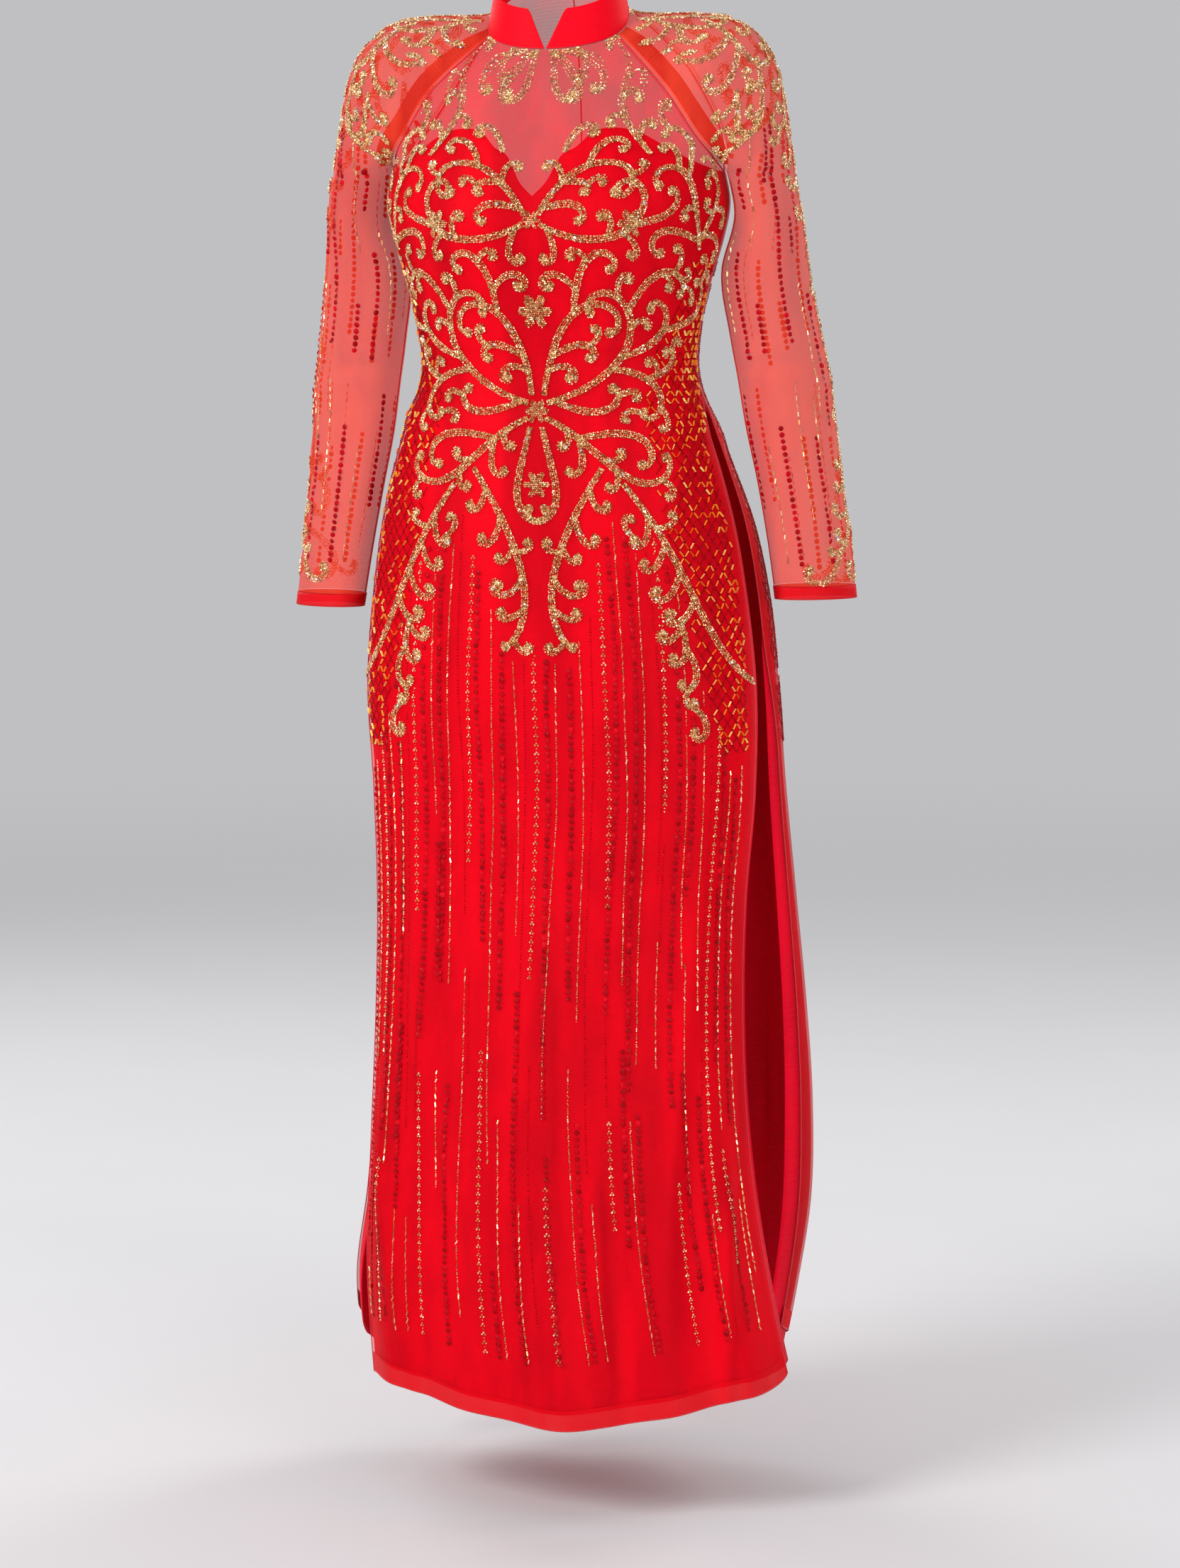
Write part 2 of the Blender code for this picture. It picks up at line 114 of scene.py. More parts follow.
class Crease(NamedTuple):
    """Soft fold: its middle in flat metres, its length, half width, lean and height."""

    across: float
    course: float
    length: float
    width: float
    lean: float
    height: float


class Stroke(NamedTuple):
    """Curling stroke of beads: start, heading in degrees, length, sweep and end's curl."""

    across: float
    course: float
    heading: float
    length: float
    sweep: float
    curl: float

    def line(self, pitch: float) -> tuple["Array", "Array", "Array"]:
        """Places of its middle line: across, course and heading in radians."""
        count = max(int(self.length / pitch), 4)
        t = np.linspace(0, 1, count)
        heading = np.radians(self.heading + self.sweep * t + self.curl * t ** CURL_POWER)
        step = self.length / (count - 1)
        x = self.across + np.concatenate(([0.0], np.cumsum(np.cos(heading[1:]) * step)))
        y = self.course + np.concatenate(([0.0], np.cumsum(np.sin(heading[1:]) * step)))
        return x, y, heading


class ArmLine(NamedTuple):
    """Line of beads down a sleeve: place round it, courses of its ends and its kind."""

    place: float
    top: float
    end: float
    ruby: bool


NET_WALL = 0.0010
LINING_WALL = 0.0012
BAND_WALL = 0.0016
LINING_DROP = 0.0030
STRIP_DROP = 0.0021
STRIP_REACHES = (0.0028, 0.0185)
STRIP_COURSES = (0.120, 0.012)
CURL_POWER = 4
SEAM_INSET = 0.0007

RING_HALF = 0.068
RING_MIDDLE = -0.0045
RING_DEPTH = 0.0595
RING_FRONT_Z = -0.0270
RING_RISE = 0.35
RING_RISE_GROWTH = 2.2
RAGLAN_FRONT_TURN = math.radians(68)
RAGLAN_BACK_TURN = math.radians(115)

COLLAR_HEIGHT_FRONT = 0.037
COLLAR_HEIGHT_BACK = 0.042
COLLAR_LEAN = 0.10
COLLAR_SEAM = 0.0012
COLLAR_NOTCH = ((0.00, 0.45, 0.90, 1.00), (0.012, 0.130, 0.262, 0.320))

ARMPIT_Z = -0.141
SIDE_ARC = 0.25
NECK_ARC = 0.08
STATION_RISE = 0.03
NECK_COURSE = 4 * STATION_RISE
PANEL_FULLNESS = 0.82
SIDE_SPREAD = 90.0
CHEST_SPREAD = 55.0
CHEST_SPREAD_COURSE = 0.045

CUP_X = 0.076
CUP_Z = -0.198
CUP_DEPTH = 0.016
CUP_WIDTH = 0.050
CUP_HEIGHT = 0.055

SLIT_TOP_Z = -0.350
NET_MARGIN = 0.08
FRONT_MARGIN_Z = (SLIT_TOP_Z, -0.43)
BACK_MARGIN_Z = (-0.58, -0.72)
BACK_LINING_MARGIN = 0.045
BACK_LINING_MARGIN_Z = (SLIT_TOP_Z, -0.41, -0.54, -0.62)

UNDERARM_CLEAR = 0.0036
UNDERARM_CLEAR_COURSE = 0.060
SLEEVE_END_Z = -0.5548
CUFF_TOP_Z = -0.5554
CUFF_END_Z = -0.5680

FRONT_LEVELS = (
    Level(-0.141, 0.000, 0.162, 0.118, 0.000, 90),
    Level(-0.170, 0.000, 0.167, 0.124, 0.000, 90),
    Level(-0.205, 0.000, 0.161, 0.124, 0.000, 90),
    Level(-0.245, 0.000, 0.149, 0.116, 0.000, 90),
    Level(-0.290, 0.000, 0.139, 0.106, 0.000, 90),
    Level(-0.326, 0.001, 0.1345, 0.101, 0.000, 90),
    Level(-0.350, 0.001, 0.138, 0.101, 0.000, 90),
    Level(-0.380, 0.000, 0.148, 0.104, -0.003, 90),
    Level(-0.430, 0.001, 0.164, 0.109, -0.007, 90),
    Level(-0.480, 0.003, 0.176, 0.114, -0.011, 90),
    Level(-0.550, 0.005, 0.187, 0.119, -0.014, 90),
    Level(-0.640, 0.007, 0.195, 0.122, -0.016, 90),
    Level(-0.740, 0.010, 0.192, 0.124, -0.018, 90),
    Level(-0.850, 0.008, 0.186, 0.128, -0.020, 90),
    Level(-0.960, 0.007, 0.186, 0.136, -0.022, 90),
    Level(-1.090, 0.009, 0.192, 0.147, -0.024, 90),
    Level(-1.220, 0.018, 0.204, 0.158, -0.026, 90),
    Level(-1.345, 0.037, 0.214, 0.166, -0.028, 90),
)
BACK_LEVELS = (
    Level(-0.141, 0.000, 0.162, 0.100, 0.000, 90),
    Level(-0.170, 0.000, 0.167, 0.102, 0.000, 90),
    Level(-0.205, 0.000, 0.161, 0.101, 0.000, 90),
    Level(-0.245, 0.000, 0.149, 0.094, 0.000, 90),
    Level(-0.290, 0.000, 0.139, 0.087, 0.000, 90),
    Level(-0.326, 0.001, 0.1345, 0.086, 0.000, 90),
    Level(-0.350, 0.001, 0.138, 0.090, 0.002, 90),
    Level(-0.380, 0.001, 0.149, 0.097, 0.010, 92),
    Level(-0.430, 0.001, 0.167, 0.110, 0.022, 96),
    Level(-0.480, 0.003, 0.182, 0.120, 0.032, 100),
    Level(-0.550, 0.006, 0.194, 0.127, 0.038, 103),
    Level(-0.640, 0.010, 0.200, 0.128, 0.040, 104),
    Level(-0.740, 0.013, 0.204, 0.129, 0.042, 106),
    Level(-0.850, 0.017, 0.210, 0.132, 0.044, 108),
    Level(-0.960, 0.020, 0.217, 0.139, 0.046, 110),
    Level(-1.060, 0.020, 0.223, 0.146, 0.048, 112),
    Level(-1.160, 0.014, 0.227, 0.154, 0.050, 112),
    Level(-1.250, 0.001, 0.226, 0.160, 0.052, 110),
    Level(-1.345, -0.004, 0.212, 0.164, 0.052, 108),
)
STATIONS = (
    Station((0.1620, 0.000, -0.141), (0.2292, 0.014, -0.146), (0.162, 0.000, -0.141), 0.050,
            -0.118, -0.141, 0.100, -0.141),
    Station((0.1560, -0.034, -0.126), (0.2220, 0.014, -0.098), (0.155, 0.040, -0.116), 0.056,
            -0.112, -0.117, 0.100, -0.106),
    Station((0.1430, -0.050, -0.107), (0.2065, 0.014, -0.031), (0.140, 0.070, -0.084), 0.062,
            -0.099, -0.091, 0.096, -0.066),
    Station((0.1130, -0.054, -0.062), (0.1610, 0.012, 0.006), (0.105, 0.076, -0.028), 0.065,
            -0.082, -0.060, 0.083, -0.015),
    Station((0.0630, -0.027, -0.0105), (0.0680, 0.000, 0.006), (0.0616, 0.021, 0.019), 0.024,
            -0.064, -0.0270, 0.055, 0.046),
)
ARM_LEVELS = (
    ArmLevel(-0.1435, 0.1656, 0.2292, 0.007, 0.050, 0.00),
    ArmLevel(-0.1810, 0.1712, 0.2350, 0.014, 0.051, 0.02),
    ArmLevel(-0.2400, 0.1565, 0.2418, 0.020, 0.048, 0.05),
    ArmLevel(-0.3050, 0.1634, 0.2510, 0.025, 0.046, 0.10),
    ArmLevel(-0.3470, 0.1700, 0.2580, 0.027, 0.045, 0.15),
    ArmLevel(-0.3950, 0.1770, 0.2625, 0.027, 0.044, 0.20),
    ArmLevel(-0.4500, 0.1880, 0.2680, 0.025, 0.041, 0.26),
    ArmLevel(-0.5040, 0.1975, 0.2750, 0.022, 0.037, 0.32),
    ArmLevel(-0.5700, 0.2075, 0.2820, 0.018, 0.034, 0.38),
)
FRONT_FLUTES = (
    Flute(-0.96, 0.10, 0.010, -0.90),
    Flute(-0.62, 0.12, 0.016, -0.75),
    Flute(-0.30, 0.10, 0.010, -0.95),
    Flute(0.02, 0.13, 0.024, -0.62),
    Flute(0.36, 0.10, 0.012, -0.85),
    Flute(0.68, 0.11, 0.017, -0.70),
    Flute(0.98, 0.09, 0.012, -0.95),
)
BACK_FLUTES = (
    Flute(-0.88, 0.12, 0.018, -0.60),
    Flute(-0.45, 0.13, 0.022, -0.70),
    Flute(-0.06, 0.12, 0.014, -0.85),
    Flute(0.34, 0.12, 0.024, -0.62),
    Flute(0.82, 0.13, 0.020, -0.55),
)
FLUTE_END_Z = -1.345
SWEETHEART = ((0.000, 0.013, 0.026, 0.040, 0.055, 0.072, 0.092, 0.124, 0.146, 0.162),
              (-0.167, -0.153, -0.129, -0.120, -0.105, -0.1015, -0.104, -0.121, -0.133, -0.141))
BACK_LINING_SCOOP = 0.052
WAIST_SEAM_COURSE = -0.208

FRONT_NET_HEM = Hem(-1.345, 0.025, -0.012, 0.022)
FRONT_LINING_HEM = Hem(-1.330, 0.025, -0.010, 0.006)
BACK_NET_HEM = Hem(-1.315, 0.008, 0.044, 0.044)
BACK_LINING_HEM = Hem(-1.343, 0.008, 0.054, 0.054)
HEM_RAISE_TOP_Z = -1.035
HEM_BOW_END = 0.7
HEM_ROUNDING = 7.0
HEM_BAND = 0.020

# Soft folds listed for each cloth, in flat metres from its middle line
FRONT_CREASES = (
    Crease(-0.150, -0.045, 0.090, 0.007, 38, 0.0022),
    Crease(-0.162, -0.075, 0.070, 0.006, 24, -0.0018),
    Crease(0.148, -0.040, 0.095, 0.007, 142, 0.0024),
    Crease(0.160, -0.078, 0.075, 0.006, 158, -0.0018),
    Crease(-0.105, -0.172, 0.110, 0.006, 8, 0.0018),
    Crease(-0.120, -0.192, 0.085, 0.005, 2, -0.0016),
    Crease(0.090, -0.168, 0.120, 0.006, 174, 0.0018),
    Crease(0.125, -0.196, 0.080, 0.005, 178, -0.0016),
    Crease(0.010, -0.205, 0.140, 0.006, 3, 0.0012),
    Crease(-0.150, -0.262, 0.120, 0.008, 128, 0.0020),
    Crease(0.155, -0.270, 0.130, 0.008, 54, 0.0022),
    Crease(-0.060, -0.560, 0.260, 0.010, 93, 0.0047),
    Crease(0.085, -0.620, 0.320, 0.011, 87, 0.0054),
    Crease(-0.130, -0.760, 0.380, 0.012, 92, 0.0061),
    Crease(0.012, -0.880, 0.420, 0.010, 91, 0.0054),
    Crease(0.140, -0.900, 0.400, 0.013, 86, 0.0068),
    Crease(-0.088, -1.010, 0.300, 0.009, 95, 0.0065),
    Crease(0.060, -1.060, 0.260, 0.009, 88, 0.0065),
    Crease(-0.175, -1.050, 0.280, 0.009, 94, 0.0061),
    Crease(0.185, -1.090, 0.240, 0.009, 84, 0.0068),
)
BACK_CREASES = (
    Crease(-0.115, 0.020, 0.080, 0.007, 62, 0.0020),
    Crease(0.120, 0.015, 0.085, 0.007, 118, 0.0022),
    Crease(-0.100, -0.150, 0.110, 0.007, 12, 0.0022),
    Crease(0.095, -0.160, 0.120, 0.007, 168, 0.0024),
    Crease(0.010, -0.180, 0.160, 0.008, 178, 0.0028),
    Crease(-0.020, -0.205, 0.130, 0.006, 4, -0.0018),
    Crease(-0.140, -0.290, 0.140, 0.009, 122, 0.0024),
    Crease(0.150, -0.300, 0.150, 0.009, 60, 0.0026),
    Crease(-0.080, -0.640, 0.360, 0.012, 91, 0.0061),
    Crease(0.060, -0.700, 0.420, 0.013, 89, 0.0068),
    Crease(-0.170, -0.820, 0.420, 0.012, 93, 0.0072),
    Crease(0.165, -0.860, 0.460, 0.014, 87, 0.0076),
    Crease(-0.010, -0.980, 0.340, 0.010, 90, 0.0065),
    Crease(0.110, -1.060, 0.240, 0.009, 88, 0.0065),
    Crease(-0.120, -1.060, 0.260, 0.009, 92, 0.0068),
)
SLEEVE_CREASES = (
    Crease(-0.060, 0.012, 0.080, 0.006, 72, 0.0022),
    Crease(-0.085, -0.020, 0.070, 0.005, 48, 0.0022),
    Crease(-0.080, -0.048, 0.060, 0.005, 32, -0.0018),
    Crease(-0.070, -0.172, 0.090, 0.005, 12, 0.0028),
    Crease(-0.078, -0.190, 0.080, 0.004, 4, -0.0024),
    Crease(-0.060, -0.206, 0.100, 0.005, -10, 0.0026),
    Crease(-0.088, -0.226, 0.060, 0.004, -22, -0.0020),
    Crease(0.040, -0.196, 0.080, 0.006, 12, 0.0018),
    Crease(-0.030, -0.300, 0.080, 0.005, 64, 0.0016),
    Crease(-0.050, -0.352, 0.070, 0.004, 22, 0.0018),
    Crease(-0.040, -0.376, 0.060, 0.004, 12, -0.0014),
    Crease(0.030, -0.366, 0.070, 0.005, -14, 0.0016),
)

# Main stems of the beadwork's left half, in flat metres from the centre front
FRONT_STEMS = (
    Stroke(0.006, -0.214, 84, 0.155, -44, -205),
    Stroke(0.010, -0.222, 14, 0.190, 72, 200),
    Stroke(0.007, -0.044, 62, 0.150, -64, -215),
    Stroke(0.009, -0.053, -30, 0.168, 86, 200),
    Stroke(0.178, -0.075, 98, 0.125, 22, 190),
    Stroke(0.112, 0.020, 122, 0.105, 14, -190),
    Stroke(0.009, -0.237, -24, 0.158, -56, 205),
    Stroke(0.006, -0.246, -78, 0.118, 14, -215),
    Stroke(0.063, -0.285, -124, 0.188, 24, 60),
    Stroke(0.084, -0.300, -50, 0.270, -40, 110),
    Stroke(0.030, 0.020, 76, 0.060, -30, -230),
)
NECK_FAN = (
    Stroke(0.007, 0.112, -72, 0.056, -16, 190),
    Stroke(0.010, 0.112, -50, 0.058, 46, -230),
    Stroke(0.018, 0.113, -26, 0.064, 40, -230),
    Stroke(0.030, 0.114, -40, 0.036, -30, -200),
)
SLEEVE_STEMS = (
    Stroke(0.000, 0.262, -98, 0.125, 14, 30),
    Stroke(-0.005, 0.246, -134, 0.105, 46, 205),
    Stroke(0.005, 0.246, -46, 0.105, -46, -205),
    Stroke(-0.014, 0.196, -132, 0.120, 52, 205),
    Stroke(0.014, 0.196, -48, 0.120, -52, -205),
    Stroke(-0.002, 0.138, -90, 0.120, 8, -200),
    Stroke(-0.030, 0.128, -122, 0.110, 44, -205),
    Stroke(0.030, 0.128, -58, 0.110, -44, 205),
    Stroke(-0.072, 0.118, -112, 0.085, 30, 205),
    Stroke(0.072, 0.118, -68, 0.085, -30, -205),
    Stroke(0.002, 0.020, -84, 0.072, -16, 40),
    Stroke(0.003, -0.051, -98, 0.066, 16, -40),
    Stroke(0.000, -0.116, -84, 0.062, -16, 40),
    Stroke(0.003, -0.178, -98, 0.062, 16, -40),
    Stroke(0.000, -0.240, -84, 0.080, -22, 160),
    Stroke(0.002, -0.264, -100, 0.128, 26, -120),
)
ROSETTES = ((0.0, -0.135, 0.017), (0.0, -0.230, 0.012), (0.0, -0.300, 0.013),
            (0.0, -0.049, 0.009), (0.098, -0.052, 0.014))
ARM_LINES = (
    ArmLine(0.300, 0.055, -0.012, True), ArmLine(0.335, 0.075, -0.170, True),
    ArmLine(0.225, 0.050, -0.075, False), ArmLine(0.170, -0.080, -0.185, True),
    ArmLine(0.395, -0.045, -0.080, True), ArmLine(0.180, 0.010, -0.040, True),
    ArmLine(0.235, -0.130, -0.180, True), ArmLine(0.400, -0.110, -0.240, False),
    ArmLine(0.310, -0.205, -0.340, False), ArmLine(0.375, -0.220, -0.280, False),
    ArmLine(0.240, -0.250, -0.390, True), ArmLine(0.360, -0.260, -0.398, True),
    ArmLine(0.440, -0.120, -0.250, True), ArmLine(0.120, -0.060, -0.160, False),
    ArmLine(0.095, -0.220, -0.330, True), ArmLine(0.180, -0.270, -0.385, False),
)

# Step of the table of flat places, in metres
TABLE_STEP = 0.002

# Limits of the beaded fields in flat metres: depths below the armpit or places across, and
# the reach or the course there
SCROLL_OUTER = ((-0.12, -0.09, -0.03, 0.06, 0.12, 0.17, 0.21, 0.30, 0.42, 0.55),
                (0.070, 0.120, 0.190, 0.232, 0.205, 0.150, 0.128, 0.130, 0.142, 0.168))
SCROLL_TOP = ((0.0, 0.020, 0.045, 0.075, 0.105, 0.160),
              (0.000, 0.020, 0.058, 0.066, 0.094, 0.112))
CENTRE_TAIL = ((0.32, 0.42, 0.46), (0.068, 0.044, 0.010))
SIDE_TAIL = ((0.32, 0.42, 0.55), (0.082, 0.104, 0.142))
BODICE_END = -0.325
TAIL_END = -0.55
MIDDLE_GAP = 0.0068
FAN_COURSES = (0.068, 0.119)
FAN_REACH = 0.080
SHOULDER_REACH = ((-0.27, -0.22, -0.14, -0.04, 0.00, 0.10),
                  (0.030, 0.065, 0.100, 0.125, 0.125, 0.012))
SHOULDER_FOOT = ((0.0, 0.012, 0.030, 0.060, 0.090, 0.125),
                 (-0.100, -0.080, 0.020, 0.058, 0.045, 0.000))
WRIST_REACH = ((0.24, 0.30, 0.36, 0.382, 0.390, 0.405),
               (0.010, 0.026, 0.034, 0.044, 0.078, 0.082))
WRIST_TOP = -0.24
LINE_TOPS = ((0.0, 0.03, 0.05, 0.065, 0.10, 0.12, 0.15, 0.18, 0.25),
             (-0.462, -0.445, -0.370, -0.325, -0.325, -0.36, -0.50, -0.56, -0.58))
LATTICE_INNER = ((0.09, 0.14, 0.19, 0.25, 0.31, 0.40, 0.46, 0.55),
                 (0.170, 0.140, 0.102, 0.108, 0.118, 0.138, 0.154, 0.176))
LATTICE_MARGIN = ((0.19, 0.25), (0.0, 0.014))
LATTICE_COURSES = (-0.555, -0.09)
LATTICE_BACK = 0.16


def linked(name: str, data: bpy.types.ID) -> bpy.types.Object:
    """New object of some data, linked to the scene."""
    made = bpy.data.objects.new(name, data)
    bpy.context.scene.collection.objects.link(made)
    return made


def lengths_along(points: Array) -> Array:
    """Length of each row of points up to each of its columns."""
    steps = np.linalg.norm(np.diff(points, axis=1), axis=2)
    return np.concatenate((np.zeros((len(points), 1)), np.cumsum(steps, axis=1)), axis=1)


def ease(value: Array) -> Array:
    """Smooth step from 0 to 1 as value goes from 0 to 1."""
    value = np.clip(value, 0.0, 1.0)
    return value * value * (3.0 - 2.0 * value)


def smooth(knots: Sequence, values: Sequence, at: Array) -> Array:
    """Smooth curve through the rows of a table.

    Args:
        knots: rising places of the rows.
        values: one row of numbers for each knot.
        at: places where the curve is wanted.

    Returns:
        The rows at those places, in the last axis.
    """
    knots = np.asarray(knots, dtype=float)
    values = np.asarray(values, dtype=float)
    slopes = np.gradient(values, knots, axis=0)
    at = np.clip(np.asarray(at, dtype=float), knots[0], knots[-1])
    row = np.clip(np.searchsorted(knots, at, side="right") - 1, 0, len(knots) - 2)
    span = (knots[row + 1] - knots[row])[..., None]
    t = (at - knots[row])[..., None] / span
    start = values[row] * (1 + 2 * t) * (1 - t) ** 2 + slopes[row] * span * t * (1 - t) ** 2
    end = values[row + 1] * t * t * (3 - 2 * t) + slopes[row + 1] * span * t * t * (t - 1)
    return start + end


def level_at(levels: Sequence, z: Array) -> NamedTuple:
    """Interpolated row of a table of levels, which run downwards."""
    rows = smooth([-level.z for level in levels], [tuple(level)[1:] for level in levels], -z)
    return type(levels[0])(z, *np.moveaxis(rows, -1, 0))


def station_at(course: Array) -> Station:
    """Interpolated shoulder station at courses above the armpit."""
    rows = [(*row.front, *row.outer, *row.back, *row[3:]) for row in STATIONS]
    found = smooth(range(len(STATIONS)), rows, course / STATION_RISE)
    rest = np.moveaxis(found[..., 9:], -1, 0)
    return Station(found[..., 0:3], found[..., 3:6], found[..., 6:9], *rest)


def ring_points(turn: Array) -> Array:
    """Points of the neckline ring, turn 0 at the centre front, growing to the left."""
    y = RING_MIDDLE - RING_DEPTH * np.cos(turn)
    run = y - (RING_MIDDLE - RING_DEPTH)
    z = RING_FRONT_Z + RING_RISE * run + RING_RISE_GROWTH * run * run
    return np.stack((RING_HALF * np.sin(turn), y, z), axis=-1)


def neck_blend(course: Array) -> Array:
    """How far a course near the neck has turned into the neckline ring."""
    return ease((course - 3 * STATION_RISE) / STATION_RISE)


def sewn_edge(z: Array) -> Array:
    """Place of a sewn side edge: the seam's clearance is a larger share near the neck."""
    above = ease(np.maximum(z - ARMPIT_Z, 0.0) / NECK_COURSE)
    return 1 - SEAM_INSET / (SIDE_ARC + (NECK_ARC - SIDE_ARC) * above)


def drawn_in(z: Array, margin: float, top_z: float, end_z: float) -> Array:
    """How far an edge has drawn in to its margin at a height, starting at top_z."""
    return margin * ease((top_z - z) / (top_z - end_z))


def front_net_edge(z: Array) -> Array:
    """Place of the front net's side edge: sewn above, narrower in the skirt."""
    return sewn_edge(z) - drawn_in(z, NET_MARGIN, *FRONT_MARGIN_Z)


def back_net_edge(z: Array) -> Array:
    """Place of the back net's side edge."""
    return sewn_edge(z) - drawn_in(z, NET_MARGIN, *BACK_MARGIN_Z)


def back_lining_edge(z: Array) -> Array:
    """Place of the back lining's side edge, a little short of the net's over the hip."""
    in_z, full_z, out_z, end_z = BACK_LINING_MARGIN_Z
    drawn = drawn_in(z, BACK_LINING_MARGIN, in_z, full_z)
    return sewn_edge(z) - drawn + drawn_in(z, BACK_LINING_MARGIN, out_z, end_z)


def hem_course(course: Array, u: Array, hem: Hem) -> Array:
    """Courses of a panel with the bow and the rounded corners of its hem."""
    corner = np.where(u > 0, hem.left_raise, hem.right_raise)
    rise = hem.bow * ease(np.abs(u) / HEM_BOW_END) + corner * np.abs(u) ** HEM_ROUNDING
    z = course + ARMPIT_Z
    return course + ease((HEM_RAISE_TOP_Z - z) / (HEM_RAISE_TOP_Z - hem.z)) * rise


@dataclass(frozen=True)
class Body:
    """Worn surface of the front or the back, before its creases."""

    facing: int
    levels: tuple[Level, ...]
    flutes: tuple[Flute, ...]

    def ring(self, u: Array) -> Array:
        """Points where the panel meets the neckline ring."""
        if self.facing < 0:
            return ring_points(u * RAGLAN_FRONT_TURN)
        return ring_points(math.pi - u * (math.pi - RAGLAN_BACK_TURN))

    def shoulder(self, course: Array, u: Array) -> Array:
        """Points above the armpit, between the raglan seams."""
        row = station_at(course)
        seam = row.front if self.facing < 0 else row.back
        middle_y = row.chest_y if self.facing < 0 else row.nape_y
        middle_z = row.chest_z if self.facing < 0 else row.nape_z
        opened = ease(course / CHEST_SPREAD_COURSE)
        spread = np.radians(SIDE_SPREAD + (CHEST_SPREAD - SIDE_SPREAD) * opened)
        edge = np.maximum(np.cos(spread), 0.0) ** PANEL_FULLNESS
        bulge = np.maximum(np.cos(u * spread), 0.0) ** PANEL_FULLNESS
        bulge = (bulge - edge) / (1 - edge)
        point = np.stack((seam[..., 0] * np.sin(u * spread) / np.sin(spread),
                          seam[..., 1] + (middle_y - seam[..., 1]) * bulge,
                          seam[..., 2] + (middle_z - seam[..., 2]) * bulge), axis=-1)
        return point + (self.ring(u) - point) * neck_blend(course)[..., None]

    def skirt(self, course: Array, u: Array) -> Array:
        """Points below the armpit."""
        row = level_at(self.levels, ARMPIT_Z + course)
        angle = np.radians(u * row.wrap)
        side = np.cos(angle)
        bulge = np.copysign(np.abs(side) ** PANEL_FULLNESS, side)
        return np.stack((row.centre + row.half * np.sin(angle),
                         row.edge + (self.facing * row.depth - row.edge) * bulge,
                         ARMPIT_Z + course), axis=-1)

    def points(self, course: Array, u: Array) -> Array:
        """Points of the surface at courses and places across."""
        above = self.shoulder(np.maximum(course, 0.0), u)
        below = self.skirt(np.minimum(course, 0.0), u)
        point = np.where((course >= 0)[..., None], above, below)
        x, z = point[..., 0], point[..., 2]
        if self.facing < 0:
            cup = CUP_DEPTH * np.exp(-((np.abs(x) - CUP_X) / CUP_WIDTH) ** 2
                                     - ((z - CUP_Z) / CUP_HEIGHT) ** 2)
            bulge = np.maximum(np.cos(u * math.pi / 2), 0.0)
            point[..., 1] -= cup * (1 - neck_blend(course)) * bulge
        for flute in self.flutes:
            grown = ease((flute.top_z - z) / (flute.top_z - FLUTE_END_Z))
            depth = flute.depth * grown * np.exp(-(((u - flute.across) / flute.width) ** 2))
            point[..., 1] += self.facing * depth
        return point


class Side(Enum):
    """Side of the wearer, with its sign along X."""

    LEFT = 1
    RIGHT = -1


@dataclass(frozen=True)
class Arm:
    """Worn surface of one sleeve, before its creases."""

    side: Side
    swing: float
    lift: float

    def ring(self, course: Array, w: Array) -> Array:
        """Points of closed rings below the armpit, on the left side."""
        row = level_at(ARM_LEVELS, ARM_LEVELS[0].z + course)
        angle = np.radians(-90 + 360 * w)
        reach = (row.outer - row.inner) / 2
        hung = ease(course / (CUFF_END_Z - ARM_LEVELS[0].z))
        x = (row.inner + row.outer) / 2 + self.swing * hung + reach * np.sin(angle)
        y = row.middle + row.skew * reach * np.sin(angle) - row.depth * np.cos(angle)
        return np.stack((x, y, row.z + self.lift * hung), axis=-1)

    def cap(self, course: Array, w: Array) -> Array:
        """Points of the open arc over the shoulder, on the left side."""
        row = station_at(course)
        clear = UNDERARM_CLEAR * (1 - ease(course / UNDERARM_CLEAR_COURSE))
        shift = np.stack((clear, 0 * clear, 0 * clear), axis=-1)
        middle = (row.front + row.back) / 2 + shift
        rise = row.outer - middle
        chord = row.front - row.back
        half_chord = np.linalg.norm(chord, axis=-1) / 2
        forward = np.where((half_chord > 1e-6)[..., None],
                           chord / np.maximum(2 * half_chord, 1e-6)[..., None],
                           np.array((0.0, -1.0, 0.0)))
        depth = np.maximum(row.depth, half_chord)
        under = np.arccos(np.minimum(half_chord / depth, 1.0))
        share = np.sin(under) / (1 + np.sin(under))
        inset = np.where(course > 0, SEAM_INSET / depth, 0.0)
        angle = -under + inset + (math.pi + 2 * under - 2 * inset) * w
        point = middle + rise * (share + (1 - share) * np.sin(angle))[..., None]
        point = point + forward * (depth * np.cos(angle))[..., None]
        turn_inset = SEAM_INSET / RING_HALF
        front_turn = RAGLAN_FRONT_TURN + turn_inset
        turn = front_turn + (RAGLAN_BACK_TURN - turn_inset - front_turn) * w
        return point + (ring_points(turn) - point) * neck_blend(course)[..., None]

    def points(self, course: Array, w: Array) -> Array:
        """Points of the surface at courses and places round the sleeve."""
        above = self.cap(np.maximum(course, 0.0), w)
        below = self.ring(np.minimum(course, 0.0), w)
        point = np.where((course >= 0)[..., None], above, below)
        return point * np.array((self.side.value, 1.0, 1.0))


